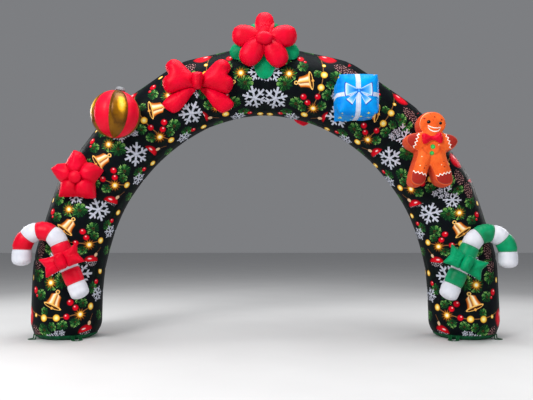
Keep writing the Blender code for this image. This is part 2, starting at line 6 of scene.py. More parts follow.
import bmesh
import bpy
from mathutils import Matrix, Vector, kdtree, noise
from mathutils.bvhtree import BVHTree


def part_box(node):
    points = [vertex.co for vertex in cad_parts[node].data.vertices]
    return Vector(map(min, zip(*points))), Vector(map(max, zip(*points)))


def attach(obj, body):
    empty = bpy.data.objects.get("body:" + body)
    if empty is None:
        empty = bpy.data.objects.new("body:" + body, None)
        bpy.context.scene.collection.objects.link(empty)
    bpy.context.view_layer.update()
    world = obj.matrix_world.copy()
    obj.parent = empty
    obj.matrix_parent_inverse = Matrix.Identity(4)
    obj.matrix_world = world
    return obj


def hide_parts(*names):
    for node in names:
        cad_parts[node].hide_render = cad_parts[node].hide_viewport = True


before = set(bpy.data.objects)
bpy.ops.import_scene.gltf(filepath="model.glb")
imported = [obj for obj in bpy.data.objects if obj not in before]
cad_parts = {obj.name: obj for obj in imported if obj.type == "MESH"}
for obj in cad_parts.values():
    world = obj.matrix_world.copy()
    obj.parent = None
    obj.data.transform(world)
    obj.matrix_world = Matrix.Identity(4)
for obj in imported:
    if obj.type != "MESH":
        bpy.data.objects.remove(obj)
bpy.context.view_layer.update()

# ---- where the photographer stands ----
# A tripod at hip height, straight in front of the passage, tilted a little up to take in the
# crown.
PHOTO_WIDTH = 533.0  # in pixels, as the focal length is
PHOTO_FOCAL_LENGTH = 629.0
SENSOR_WIDTH = 36.0
CAMERA_PLACE = (0.0131, -5.2558, 0.824)
CAMERA_TILT = 93.46  # degrees up from straight down

camera_data = bpy.data.cameras.new("camera")
camera_data.sensor_width = SENSOR_WIDTH
camera_data.lens = SENSOR_WIDTH * PHOTO_FOCAL_LENGTH / PHOTO_WIDTH
camera = bpy.data.objects.new("camera", camera_data)
camera.location = CAMERA_PLACE
camera.rotation_euler = (math.radians(CAMERA_TILT), 0.0, 0.0)
bpy.context.scene.collection.objects.link(camera)
bpy.context.scene.camera = camera
bpy.context.scene.view_settings.view_transform = "Standard"


# ---- arch tube ----
# Ten straight-cut panels of printed polyester sewn end to end into one air-filled tube. Each panel
# is a front, a back and two narrow sides joined lengthwise. The seams pull the cloth in, and it
# swells between them.
TUBE_RADIUS = 0.288
PANEL_LENGTH = 0.622
CROWN_HEIGHT = 2.198
LEAN_ANGLES = (77.6, 54.8, 36.4, 16.6, 1.0)
BASE_HEIGHT = 0.040
BASE_RIM_RADIUS = 0.258
FOOT_ROUND = 0.10
CLOTH_GAP = 0.0003  # between the tube's rim and the foot base
SEAM_DRAW_IN = 0.010
SEAM_GROOVE = 0.004
SEAM_GROOVE_WIDTH = 0.012
INNER_FILL = 0.019
GATHER_WAVES = ((23, 0.5), (37, 0.35), (61, 0.25))  # waves round the tube, and their strength
GATHER_DEPTH = 0.0022
GATHER_LENGTH = 0.045
BILLOW_DEPTH = 0.0022
EDGE_SEAMS = (62.0, 118.0, 242.0, 298.0)  # degrees round the tube from its front
EDGE_SEAM_DRAW_IN = 0.004
EDGE_SEAM_DEGREES = 9.0
EDGE_GROOVE = 0.0016
EDGE_GROOVE_DEGREES = 1.6
TUBE_SIDES = 180
PANEL_STEPS = 30

tube_low, tube_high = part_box("arch_tube")
MIDDLE = Vector(((tube_low.x + tube_high.x) / 2, (tube_low.y + tube_high.y) / 2, 0.0))

panel_corners = [Vector((0.0, 0.0, CROWN_HEIGHT))]
for lean in LEAN_ANGLES:
    step = Vector((math.sin(math.radians(lean)), 0.0, -math.cos(math.radians(lean))))
    panel_corners.append(panel_corners[-1] + step * PANEL_LENGTH)
last_share = (panel_corners[-2].z - BASE_HEIGHT) / (panel_corners[-2].z - panel_corners[-1].z)
panel_corners[-1] = panel_corners[-2].lerp(panel_corners[-1], last_share)
LEG_X = panel_corners[-1].x
tube_path = [Vector((-c.x, 0.0, c.z)) for c in reversed(panel_corners)] + panel_corners[1:]
PANELS = len(tube_path) - 1
seam_bends = [0.0] + [math.degrees((b - a).angle(c - b))
                      for a, b, c in zip(tube_path, tube_path[1:], tube_path[2:])] + [0.0]
# how the printed cloth was laid on each panel, from the left foot over the crown to the right
# foot: its shift across, its shift along and its stretch
PRINT_LAY = ((0.000, 0.000, 1.00), (0.000, 0.065, 0.904), (0.000, 0.028, 0.948), (0.012, 0.002, 1.00),
             (0.035, -0.005, 1.00), (0.043, -0.002, 1.00), (0.047, 0.015, 0.953),
             (0.055, 0.023, 0.948), (0.027, 0.062, 0.86), (0.028, -0.005, 0.97))


def panel_frame(panel):
    """A panel's first path corner, its direction, its length and the planes of its end seams."""
    start, end = tube_path[panel], tube_path[panel + 1]
    along = (end - start).normalized()
    planes = []
    for other in (panel - 1, panel + 1):
        if 0 <= other < PANELS:
            beside = (tube_path[other + 1] - tube_path[other]).normalized()
            planes.append((along + beside).normalized())
        else:
            planes.append(Vector((0.0, 0.0, 1.0 if panel == 0 else -1.0)))
    return start, along, (end - start).length, planes


def pucker(seam, degrees):
    """The uneven gathering along one seam, -1 to 1."""
    return sum(strength * math.sin(math.radians(degrees) * wave + seam * 2.4 * wave)
               for wave, strength in GATHER_WAVES)


def tube_point(panel, share, turn):
    """A point of the cloth and its place on the print: across and along the panel."""
    start, along, length, planes = panel_frame(panel)
    angle = 2 * math.pi * turn
    degrees = turn * 360.0
    outward = Vector((-along.z, 0.0, along.x))
    to_seam = min(share, 1.0 - share) * length
    seamness = abs(2 * share - 1.0) ** 6
    # on the passage side the cloth runs on past each bend in one smooth arc
    inner = max(0.0, -math.sin(angle))
    seam = panel if share < 0.5 else panel + 1
    radius = TUBE_RADIUS - SEAM_DRAW_IN * seamness * (1.0 - inner)
    radius += INNER_FILL * seam_bends[seam] / 20.0 * inner * (2 * share - 1.0) ** 2
    # short gathers beside a cross seam, deeper where a bend squeezes the inner side
    gathers = GATHER_DEPTH * (0.4 + inner) * pucker(seam, degrees)
    radius += gathers * math.exp(-to_seam / GATHER_LENGTH)
    radius -= SEAM_GROOVE * (1.0 - 0.5 * inner) * math.exp(-(to_seam / SEAM_GROOVE_WIDTH) ** 2)
    # long soft waves of the cloth between the seams
    place = start + along * (share * length)
    wave_place = Vector((math.cos(angle) * 1.6, math.sin(angle) * 1.6, place.x * 2.1 + place.z * 2.7))
    radius += BILLOW_DEPTH * noise.noise(wave_place * 1.7)
    dip = sum(math.exp(-((degrees - edge) / EDGE_SEAM_DEGREES) ** 2) for edge in EDGE_SEAMS)
    groove = sum(math.exp(-((degrees - edge) / EDGE_GROOVE_DEGREES) ** 2) for edge in EDGE_SEAMS)
    radius *= 1.0 - (EDGE_SEAM_DRAW_IN * dip + EDGE_GROOVE * groove) / TUBE_RADIUS
    centre_height = place.z - BASE_HEIGHT
    if panel in (0, PANELS - 1) and centre_height < FOOT_ROUND:
        turn_in = (1.0 - centre_height / FOOT_ROUND) ** 2
        radius += (BASE_RIM_RADIUS - radius) * turn_in
    across = (Vector((0.0, -1.0, 0.0)) * math.cos(angle) + outward * math.sin(angle)) * radius
    low = -across.dot(planes[0]) / along.dot(planes[0])
    high = length - across.dot(planes[1]) / along.dot(planes[1])
    axial = low + (high - low) * share
    # the rear half carries the front's print, so the way across runs back behind each side
    folded = angle if angle <= math.pi else angle - 2 * math.pi
    if abs(folded) > math.pi / 2:
        folded = math.copysign(math.pi, folded) - folded
    shift, rise, stretch = PRINT_LAY[panel]
    up = length - axial if panel >= PANELS // 2 else axial
    return start + along * axial + across, (-folded * TUBE_RADIUS - shift, (up - rise) / stretch)


def band_faces(first, sides):
    """The faces between a ring of points and the next ring."""
    return [(first + side, first + (side + 1) % sides, first + sides + (side + 1) % sides,
             first + sides + side) for side in range(sides)]


def corner_places(sewing, faces):
    """Each face's corners with their places on the cloth."""
    return [[sewing[corner] for corner in face] for face in faces]


def add_places(piece, name, places):
    """Keeps each face corner's place on the cloth, under a name that the cloth's colours read."""
    layer = piece.data.uv_layers.new(name=name)
    layer.data.foreach_set("uv", [number for face in places for corner in face for number in corner])


def cloth_object(name, points, faces, node, sewing=None):
    """Makes a smooth named piece that rides on the frame in place of its CAD node."""
    mesh = bpy.data.meshes.new(name)
    mesh.from_pydata(points, [], faces)
    mesh.shade_smooth()
    piece = bpy.data.objects.new(name, mesh)
    bpy.context.scene.collection.objects.link(piece)
    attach(piece, "root")
    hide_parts(node)
    if sewing:
        add_places(piece, "sewing", sewing)
    return piece


tube_points = []
tube_faces = []
print_places = []
for panel in range(PANELS):
    rings = [[tube_point(panel, step / PANEL_STEPS, side / TUBE_SIDES) for side in range(TUBE_SIDES)]
             for step in range(PANEL_STEPS + 1)]
    # two panels share the ring of points on the seam between them
    for ring in rings if panel == 0 else rings[1:]:
        tube_points += [point + MIDDLE for point, _ in ring]
    for step, (ring, next_ring) in enumerate(zip(rings, rings[1:])):
        tube_faces += band_faces((panel * PANEL_STEPS + step) * TUBE_SIDES, TUBE_SIDES)
        for side in range(TUBE_SIDES):
            beside = (side + 1) % TUBE_SIDES
            print_places.append([corner[1] for corner in (ring[side], ring[beside],
                                                          next_ring[beside], next_ring[side])])
for end in (0, len(tube_points) - TUBE_SIDES):
    for side in range(TUBE_SIDES):
        tube_points[end + side].z = BASE_HEIGHT + CLOTH_GAP
tube = cloth_object("arch_tube_cloth", tube_points, tube_faces, "arch_tube",
                    print_places)


class Ink:
    """A number, colour or vector that varies over the cloth. Operators on it add Math nodes."""

    tree = None

    def __init__(self, socket):
        self.socket = socket

    @staticmethod
    def node(kind, inputs=(), output=0, stops=None, **settings):
        """Adds a node: its settings and its ramp's stops first, then its sockets."""
        made = Ink.tree.nodes.new("ShaderNode" + kind)
        for setting, value in settings.items():
            setattr(made, setting, value)
        if stops:
            ramp = made.color_ramp
            ramp.elements[0].position = stops[0][0]
            ramp.elements[-1].position = stops[-1][0]
            for place, _ in stops[1:-1]:
                ramp.elements.new(place)
            for element, (_, colour) in zip(ramp.elements, stops):
                element.color = (*colour[:3], 1.0)
        for place, value in dict(inputs).items():
            if isinstance(value, Ink):
                Ink.tree.links.new(value.socket, made.inputs[place])
            else:
                made.inputs[place].default_value = value
        return Ink(made.outputs[output])

    def do(self, operation, *others):
        """Any other Math node."""
        return Ink.node("Math", enumerate((self, *others)), operation=operation)

    def __add__(self, other):
        return self.do("ADD", other)

    __radd__ = __add__

    def __sub__(self, other):
        return self.do("SUBTRACT", other)

    def __rsub__(self, other):
        return Ink.node("Math", {0: other, 1: self}, operation="SUBTRACT")

    def __mul__(self, other):
        return self.do("MULTIPLY", other)

    __rmul__ = __mul__

    def __truediv__(self, other):
        return self.do("DIVIDE", other)

    def __pow__(self, other):
        return self.do("POWER", other)

    def __lt__(self, other):
        return self.do("LESS_THAN", other)

    def __gt__(self, other):
        return self.do("GREATER_THAN", other)

    def __abs__(self):
        return self.do("ABSOLUTE")


def dye(red, green, blue):
    """A colour as it looks, 0 to 255, in the renderer's own linear numbers."""
    return tuple((c / 255 / 12.92 if c < 10.3 else ((c / 255 + 0.055) / 1.055) ** 2.4)
                 for c in (red, green, blue)) + (1.0,)


def soft(value, low, high):
    """0 below low, 1 above high, and a smooth rise between them. low may be above high."""
    return Ink.node("MapRange", {0: value, 1: low, 2: high}, interpolation_type="SMOOTHSTEP")


def over(under, mask, colour):
    """Prints a colour over another where the mask is 1."""
    return Ink.node("Mix", {0: mask, 6: under, 7: colour}, output=2, data_type="RGBA")


def ramp(value, *stops):
    """Colours by the value: each stop is a place and its colour."""
    return Ink.node("ValToRGB", {0: value}, stops=stops)


def grain(place, scale, detail=2.0):
    """Cloudy noise, about 0.2 to 0.8."""
    return Ink.node("TexNoise", {"Vector": place, "Scale": scale, "Detail": detail})


def split(vector):
    """A vector's three parts."""
    axes = Ink.tree.nodes.new("ShaderNodeSeparateXYZ")
    Ink.tree.links.new(vector.socket, axes.inputs[0])
    return tuple(Ink(socket) for socket in axes.outputs)


def vector_math(operation, *vectors, output=0):
    return Ink.node("VectorMath", enumerate(vectors), output=output, operation=operation)


def scaled(vector, amount):
    return Ink.node("VectorMath", {0: vector, "Scale": amount}, operation="SCALE")


def length_of(vector):
    return vector_math("LENGTH", vector, output=1)


def turned(vector, degrees):
    """The vector as it looks from a motif that is turned by so many degrees."""
    if not degrees:
        return vector
    return Ink.node("VectorRotate", {"Vector": vector, "Angle": math.radians(-degrees)},
                    rotation_type="Z_AXIS")


def oval(spot, wide, tall, across=0.0, up=0.0):
    """How far the cloth lies from an oval's middle: 1 on the oval's edge."""
    away = vector_math("SUBTRACT", spot, (across, up, 0.0))
    return length_of(vector_math("MULTIPLY", away, (1 / wide, 1 / tall, 0.0)))


def start_cloth(name, *pieces):
    """Opens a material on its pieces. Ink's nodes go into it until the next one is opened.

    It gives the shader, and where on the piece the cloth lies."""
    material = bpy.data.materials.new(name)
    material.use_nodes = True
    Ink.tree = material.node_tree
    for piece in pieces:
        piece.data.materials.clear()
        piece.data.materials.append(material)
    return material.node_tree.nodes["Principled BSDF"], Ink.node("TexCoord", output=3)


def sewing_place(name="sewing"):
    """The cloth's place as it was kept on the piece: along the seam, and from seam to seam."""
    return split(Ink.node("UVMap", uv_map=name))[:2]


def dress(shader, colour, roughness, height, relief=0.001, sheen=0.012, gloss=0.10):
    """Joins colour, roughness and the cloth's height, in units of relief metres, to the shader."""
    links = Ink.tree.links
    links.new(colour.socket, shader.inputs["Base Color"])
    if isinstance(roughness, Ink):
        links.new(roughness.socket, shader.inputs["Roughness"])
    else:
        shader.inputs["Roughness"].default_value = roughness
    bump = Ink.node("Bump", {"Height": height, "Distance": relief, "Strength": 1.0})
    links.new(bump.socket, shader.inputs["Normal"])
    shader.inputs["Sheen Weight"].default_value = sheen
    shader.inputs["Sheen Roughness"].default_value = 0.45
    shader.inputs["Specular IOR Level"].default_value = gloss


def weave(place, threads=900.0):
    """Plain-woven threads as a height, 0 to 1."""
    x, y, z = split(scaled(place, threads))
    return (x + y).do("SINE") * 0.25 + (z - y * 0.5).do("SINE") * 0.25 + 0.5


# The print, drawn on the panel's own place: a string of lights, bells, snowflakes, berries and
# glass balls over pine sprigs, on near-black.
PRINT_REPEAT = 0.600
print_shader, place = start_cloth("printed_polyester", tube)
chart = Ink.node("UVMap", uv_map="sewing")
chart_across, chart_up, _ = split(chart)


def motif(across, up, turn=0.0):
    """Where the cloth lies from a motif's middle, turned upright with the motif."""
    away = vector_math("SUBTRACT", chart, (across, up, 0.0))
    half = PRINT_REPEAT / 2
    return turned(vector_math("WRAP", away, (9.0, half, 9.0), (-9.0, -half, -9.0)), turn)


def nearest(motifs, otherwise):
    """Among several like motifs, where the cloth lies in the one it is in, in its radii."""
    inside = otherwise
    for across, up, radius, *turn in motifs:
        spot = scaled(motif(across, up, *turn), 1.0 / radius)
        here = length_of(spot) < 1.12
        inside = Ink.node("Mix", {0: here, 4: inside, 5: spot}, output=1, data_type="VECTOR")
    return inside


FAR_AWAY = (50.0, 50.0, 0.0)

# pine sprigs: curved needles from a brown middle, bright ones near the motifs, dim ones behind.
# This table and those below give each motif's place across and up, its radius and its turn.
SPRIGS = ((-0.052, 0.428, 0.072, 20.0), (0.034, 0.443, 0.070, 150.0), (-0.187, 0.487, 0.066, 60.0),
          (0.182, 0.318, 0.062, 200.0), (-0.143, 0.325, 0.052, 100.0), (0.300, 0.382, 0.052, 10.0),
          (0.150, 0.112, 0.044, 300.0), (-0.105, 0.045, 0.062, 250.0), (-0.032, 0.075, 0.040, 30.0),
          (0.210, 0.262, 0.042, 80.0), (-0.100, 0.195, 0.038, 180.0), (0.052, 0.085, 0.046, 120.0),
          (0.392, 0.150, 0.046, 40.0), (-0.385, 0.300, 0.048, 220.0))
cells = Ink.node("TexVoronoi", {"Vector": chart, "Scale": 13.0, "Randomness": 0.9}, output=2,
                 voronoi_dimensions="2D")
behind = scaled(vector_math("SUBTRACT", chart, cells), 17.0)
NEEDLES = 42  # round one sprig
sprig = nearest(SPRIGS, behind)
in_front = length_of(vector_math("SUBTRACT", sprig, behind)) > 0.001
across, up, _ = split(sprig)
reach = length_of(sprig)
curl = grain(chart, 30.0, 0.0) * 0.20
needle_turn = (up.do("ARCTAN2", across) + reach * 0.45 + curl) * (NEEDLES / (2 * math.pi))
needle = needle_turn.do("FLOOR")
needle_chance = Ink.node("TexWhiteNoise", {"W": needle + (reach * 1.7).do("FLOOR") * 37.0},
                         output=0, noise_dimensions="1D")
needle_middle = needle_turn.do("PINGPONG", 0.5) * 2.0
needle_end = (needle_chance * 7.3).do("FRACT") * 0.24 + 0.76
needles = (needle_middle > reach * 0.36 + 0.16) * (reach < needle_end) * (reach > 0.08)
needle_light = (needle_chance * 0.62 + needle_middle * 0.30) * (0.42 + reach * 0.72)
needle_light = needle_light * (across * 0.50 - up * 0.20 + 0.92)
bright_green = ramp(needle_light, (0.15, dye(6, 34, 16)), (0.40, dye(24, 92, 38)),
                    (0.62, dye(86, 168, 72)), (0.90, dye(190, 230, 134)))
dim_green = ramp(needle_light, (0.1, dye(5, 13, 11)), (0.6, dye(10, 34, 22)), (1.0, dye(28, 76, 40)))
ground = ramp(grain(chart, 7.0, 3.0), (0.30, dye(5, 8, 11)), (0.60, dye(10, 15, 21)),
              (0.80, dye(9, 20, 18)))
patches = soft(grain(chart, 9.0, 1.0), 0.46, 0.66)
colour = over(ground, needles * patches * 0.85, dim_green)
colour = over(colour, needles * in_front, bright_green)
brown_bits = (reach < 0.24) * (grain(chart, 160.0, 1.0) > 0.56) * in_front
colour = over(colour, brown_bits, dye(96, 52, 30))

# the wire of the string of lights, which sags, and a short twig
WIRE_HALF = 0.0032
from_lowest = chart_across + 0.03
wire_height = from_lowest * from_lowest * 0.85 + 0.147
wire = (abs(chart_up - wire_height) < WIRE_HALF) * (chart_across > -0.34) * (chart_across < 0.30)
colour = over(colour, wire, dye(150, 100, 52))
twigs = abs(split(motif(0.292, 0.135, 62.0))[1]) < 0.0022
twigs = twigs * (length_of(motif(0.292, 0.135)) < 0.040)
colour = over(colour, twigs, dye(128, 84, 44))

# snowflakes: six arms with two pairs of branches each
FLAKES = ((0.176, 0.495, 0.108, 3.0), (-0.030, 0.560, 0.080, 20.0), (0.004, 0.020, 0.030, 0.0),
          (0.048, 0.026, 0.030, 20.0), (0.362, 0.330, 0.068, 12.0))
across, up, _ = split(nearest(FLAKES, FAR_AWAY))
flake_reach = (across * across + up * up) ** 0.5
fold = up.do("ARCTAN2", across).do("PINGPONG", math.pi / 6)
run = flake_reach * fold.do("COSINE")
off = flake_reach * fold.do("SINE")
arm = (off < 0.082) * (run < 0.97)
slant = abs((run - 0.50) * 0.866 - off * 0.5) < 0.072
arm = arm.do("MAXIMUM", slant * (off < 0.30) * (run > 0.42))
flake_tone = ramp(grain(chart, 60.0), (0.3, dye(168, 172, 186)), (0.7, dye(204, 208, 220)))
colour = over(colour, arm, flake_tone)

# pine cones at the edge: dark, with pale tips on the scales
cone_spot = motif(-0.210, 0.000, 15.0)
cone = oval(cone_spot, 0.050, 0.080) < 1.0
scales = Ink.node("TexVoronoi", {"Vector": vector_math("MULTIPLY", cone_spot, (0.6, 1.3, 1.0)),
                                 "Scale": 66.0}, voronoi_dimensions="2D")
cone_tone = ramp(scales, (0.10, dye(214, 172, 168)), (0.24, dye(120, 66, 66)), (0.34, dye(34, 20, 26)))
colour = over(colour, cone, cone_tone)

# glass ball: a red dome with a pale cap, and a dark dotted cone under it
ball_spot = motif(0.252, 0.030, 12.0)
across, up, _ = split(ball_spot)
dots = Ink.node("TexVoronoi", {"Vector": chart, "Scale": 85.0}, voronoi_dimensions="2D")
dots_tone = ramp(dots, (0.18, dye(206, 200, 204)), (0.34, dye(40, 26, 30)))
colour = over(colour, (oval(ball_spot, 0.060, 0.044) < 1.0) * (up < 0.0), dots_tone)
dome_reach = oval(ball_spot, 0.070, 0.058)
dome = (dome_reach < 1.0) * (up > 0.0)
shine = soft(oval(ball_spot, 0.022, 0.009, -0.018, 0.026), 1.1, 0.3)
dome_tone = ramp(dome_reach, (0.2, dye(226, 14, 34)), (0.75, dye(196, 2, 22)), (1.0, dye(96, 0, 12)))
colour = over(colour, dome, over(dome_tone, shine, dye(255, 214, 216)))
colour = over(colour, oval(motif(0.277, 0.097, -20.0), 0.015, 0.019) < 1.0, dye(222, 186, 148))

# bell: bands of bright and dark gold, an open mouth with its clapper, and a ring
bell_spot = motif(-0.035, 0.240, -21.0)
across, up, _ = split(bell_spot)
flare = (up * -32.0).do("EXPONENT") * 0.034 + 0.041
shoulder = ((0.108 - up) * 55.0).do("MAXIMUM", 0.0).do("MINIMUM", 1.0) ** 0.5
width = flare * shoulder
body = (abs(across) < width) * (up > -0.004)
gold_bands = ramp(across / width * 0.5 + 0.5, (0.0, dye(132, 60, 8)), (0.14, dye(222, 126, 34)),
                  (0.28, dye(255, 246, 214)), (0.46, dye(252, 196, 96)), (0.60, dye(160, 68, 6)),
                  (0.72, dye(255, 236, 186)), (0.88, dye(222, 122, 30)), (1.0, dye(124, 54, 8)))
colour = over(colour, body, gold_bands)
mouth = oval(bell_spot, 0.078, 0.018) < 1.0
colour = over(colour, mouth, dye(244, 188, 96))
inner_mouth = oval(bell_spot, 0.066, 0.010, 0.0, -0.003) < 1.0
colour = over(colour, inner_mouth, dye(74, 34, 10))
clapper = oval(bell_spot, 0.011, 0.011, 0.004, -0.015) < 1.0
colour = over(colour, clapper, dye(236, 166, 72))
ring_reach = oval(bell_spot, 1.0, 1.0, 0.0, 0.122)
bell_ring = (ring_reach < 0.017) * (ring_reach > 0.008)
colour = over(colour, bell_ring, dye(240, 188, 104))

# berries and red beads: dark rim, white glint
BERRIES = ((0.108, 0.270, 0.027), (0.150, 0.227, 0.026), (0.082, 0.157, 0.025),
           (-0.216, 0.360, 0.030), (-0.192, 0.318, 0.014), (0.337, 0.430, 0.022),
           (-0.320, 0.140, 0.080))
berry = nearest(BERRIES, FAR_AWAY)
berry_reach = length_of(berry)
glint = soft(oval(berry, 1.0, 1.0, -0.28, 0.36), 0.34, 0.12)
berry_tone = ramp(berry_reach, (0.10, dye(214, 10, 36)), (0.62, dye(222, 4, 30)),
                  (1.0, dye(112, 0, 16)))
colour = over(colour, berry_reach < 1.0, over(berry_tone, glint, dye(255, 190, 190)))

# lights: round yellow ones, and star-shaped ones with a glow
LIGHTS = ((-0.105, 0.143, 0.030), (0.004, 0.147, 0.029), (0.286, 0.231, 0.030),
          (-0.196, 0.160, 0.017), (0.375, 0.517, 0.027), (-0.288, 0.457, 0.024))
lamp_reach = length_of(nearest(LIGHTS, FAR_AWAY))
lamp_tone = ramp(lamp_reach, (0.15, dye(255, 246, 190)), (0.55, dye(250, 218, 96)),
                 (0.85, dye(232, 168, 44)), (1.0, dye(150, 88, 20)))
colour = over(colour, lamp_reach < 1.0, lamp_tone)
STAR_LIGHTS = ((-0.052, 0.426, 0.060, 0.0), (0.190, 0.172, 0.060, 10.0))
star_light = nearest(STAR_LIGHTS, FAR_AWAY)
across, up, _ = split(star_light)
glow_reach = length_of(star_light)
rays = (up.do("ARCTAN2", across) * 12.0).do("COSINE") * 0.22 + 0.78
glow = soft(glow_reach / rays, 1.0, 0.25)
colour = over(colour, glow * 0.9, dye(214, 122, 22))
colour = over(colour, soft(glow_reach, 0.46, 0.28), dye(255, 200, 66))
colour = over(colour, soft(glow_reach, 0.28, 0.12), dye(255, 250, 222))

# the cloth under the print: its weave and stretch marks
stretch_marks = grain(place, 14.0, 3.0)
dress(print_shader, colour, stretch_marks * 0.14 + 0.44, weave(place) * 0.15 + stretch_marks * 2.2,
      sheen=0.0, gloss=0.05)


# ---- foot bases ----
# Green uncoated cloth closes each leg below the print. It is gathered into the bottom seam and
# lies flat on the ground.
BASE_FLAT_RADIUS = 0.212
BASE_GATHER = 0.0035
BASE_INSET = 0.0025  # keeps the gathers inside the tube's rim
BASE_ROWS = 12
BASE_SIDES = 120


def foot_base(name, x):
    """A shallow round tray of cloth, flat on the ground and rising to the tube's rim."""
    points = [MIDDLE + Vector((x, 0.0, 0.0))]
    for row in range(BASE_ROWS + 1):
        share = row / BASE_ROWS
        radius = BASE_FLAT_RADIUS + (BASE_RIM_RADIUS - BASE_FLAT_RADIUS) * math.sin(share * math.pi / 2)
        for side in range(BASE_SIDES):
            angle = 2 * math.pi * side / BASE_SIDES
            waves = math.sin(angle * 31 + x) + 0.6 * math.sin(angle * 47 + 2 * x)
            out = radius - BASE_INSET + BASE_GATHER * math.sin(math.pi * share) * waves
            spot = Vector((math.cos(angle), math.sin(angle), 0.0)) * out
            points.append(MIDDLE + Vector((x, 0.0, BASE_HEIGHT * share)) + spot)
    faces = [(0, 1 + (side + 1) % BASE_SIDES, 1 + side) for side in range(BASE_SIDES)]
    for row in range(BASE_ROWS):
        faces += band_faces(1 + row * BASE_SIDES, BASE_SIDES)
    return cloth_object(name + "_cloth", points, faces, name)


bases = [foot_base("foot_base_left", -LEG_X), foot_base("foot_base_right", LEG_X)]
base_shader, place = start_cloth("base_polyester", *bases)
base_tone = ramp(grain(place, 30.0, 3.0), (0.3, dye(4, 62, 36)), (0.7, dye(12, 96, 56)))
dress(base_shader, base_tone, 0.6, weave(place) * 0.2 + grain(place, 45.0) * 1.5)


# ---- tie loops ----
# Green webbing loops sewn into the bottom seam, two at the front of each leg, where a peg or a
# rope holds the arch down. They flop out on the ground.
LOOP_STRAND = 0.030
LOOP_THICKNESS = 0.003
LOOP_INNER = 0.016
LOOP_STRAIGHT = 0.048
LOOP_FALL = 0.040  # how much of it hangs down from the seam
LOOP_CORNERS = 0.35  # squares the strand's cross section off
LOOP_STATIONS = 72
LOOP_SIDES = 20
LOOP_ANGLES = {"tie_loop_1": (-1, 215.0), "tie_loop_2": (-1, 305.0),
               "tie_loop_3": (1, 235.0), "tie_loop_4": (1, 325.0)}


def loop_route(length):
    """How far out and how high the webbing lies at a length from the seam."""
    radius = BASE_RIM_RADIUS + 0.005 + max(0.0, length - LOOP_FALL) + 0.10 * min(length, LOOP_FALL)
    drop = BASE_HEIGHT - 0.003 - LOOP_THICKNESS / 2
    share = min(1.0, length / (LOOP_FALL + 0.012))
    return radius, LOOP_THICKNESS / 2 + drop * (0.5 + 0.5 * math.cos(math.pi * share))


def tie_loop(name, side, degrees):
    """A folded strand of webbing on one leg, -1 or 1, at an angle round it."""
    middle = LOOP_INNER + LOOP_STRAND / 2
    arc = math.pi * middle
    reach = LOOP_STRAIGHT * 2 + arc
    turn = Matrix.Rotation(math.radians(degrees), 4, "Z")
    points = []
    sewing = []
    for station in range(LOOP_STATIONS + 1):
        travelled = reach * station / LOOP_STATIONS
        for corner in range(LOOP_SIDES):
            angle = 2 * math.pi * corner / LOOP_SIDES
            wide = math.copysign(abs(math.cos(angle)) ** LOOP_CORNERS, math.cos(angle))
            tall = math.copysign(abs(math.sin(angle)) ** LOOP_CORNERS, math.sin(angle))
            inward = wide * LOOP_STRAND / 2
            up = tall * LOOP_THICKNESS / 2
            if travelled < LOOP_STRAIGHT:
                out, across = travelled, -(middle - inward)
            elif travelled > LOOP_STRAIGHT + arc:
                out, across = reach - travelled, middle - inward
            else:
                bend = (travelled - LOOP_STRAIGHT) / middle
                out = LOOP_STRAIGHT + math.sin(bend) * (middle - inward)
                across = -math.cos(bend) * (middle - inward)
            radius, height = loop_route(out)
            before = loop_route(max(out - 0.002, 0.0))
            after = loop_route(out + 0.002)
            slope = Vector((after[0] - before[0], after[1] - before[1])).normalized()
            spot = Vector((radius - slope.y * up, across, height + slope.x * up))
            points.append(turn @ spot + Vector((side * LEG_X, 0.0, 0.0)))
            sewing.append((travelled, inward))
    faces = []
    for station in range(LOOP_STATIONS):
        faces += band_faces(station * LOOP_SIDES, LOOP_SIDES)
    last = LOOP_STATIONS * LOOP_SIDES
    faces.append(tuple(range(LOOP_SIDES)))
    faces.append(tuple(reversed(range(last, last + LOOP_SIDES))))
    # the solid loop was slid in until it met the foot: this one lies at the same place
    low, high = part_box(name)
    shift = Vector()
    for axis in (0, 1):
        spread = [point[axis] for point in points]
        shift[axis] = (low[axis] + high[axis]) / 2 - (min(spread) + max(spread)) / 2
    points = [point + shift for point in points]
    return cloth_object(name + "_webbing", points, faces, name, corner_places(sewing, faces))


loops = [tie_loop(name, side, degrees) for name, (side, degrees) in LOOP_ANGLES.items()]
loop_shader, place = start_cloth("green_webbing", *loops)
run, inward = sewing_place()
ribs = (run * 2600.0).do("SINE") * 0.5 + 0.5
edge_stitch = abs(abs(inward) - 0.012) < 0.0006
dashes = (run * 1200.0).do("SINE") > -0.3
# painted shade: the webbing is darker in the grooves between its ribs
loop_tone = over(ramp(ribs, (0.0, dye(0, 48, 24)), (1.0, dye(8, 92, 48))), edge_stitch * dashes,
                 dye(60, 140, 90))
dress(loop_shader, loop_tone, 0.7, ribs + edge_stitch * dashes * 0.6, relief=0.0006)


# ---- candy canes ----
# Striped tubes of red or green and white satin bands, sewn end to end round a hook and blown up
# tight. Each is stitched to the front of its leg, and ends in a gathered white cap.
CANE_RADIUS = 0.075
CANE_HOOK_RADIUS = 0.152
CANE_DROP = 0.065
CANE_SHAFT = 0.420
CANE_DRAW_IN = 0.006
CANE_SEAM_WIDTH = 0.016
CANE_SEAMS = (0.070, 0.182, 0.277, 0.390, 0.493, 0.605, 0.713, 0.831)  # from the hook's end
CANE_DEPTH = -0.345
CANE_CAP = CANE_RADIUS * 0.80  # how far an end cap reaches past the tube
CANE_CAP_BLUNTNESS = 2.6
CANE_CAP_ROWS = 12
CANE_ROWS = 150
CANE_SIDES = 72
SEAM_GATHER = 0.0007
SEAM_GATHER_LENGTH = 0.014
CAP_GATHER = 0.0020
CAP_GATHER_PLACE = 0.62  # as a share of the cap's reach
CAP_GATHER_LENGTH = 0.22
HOOK_FOLD = 0.0012


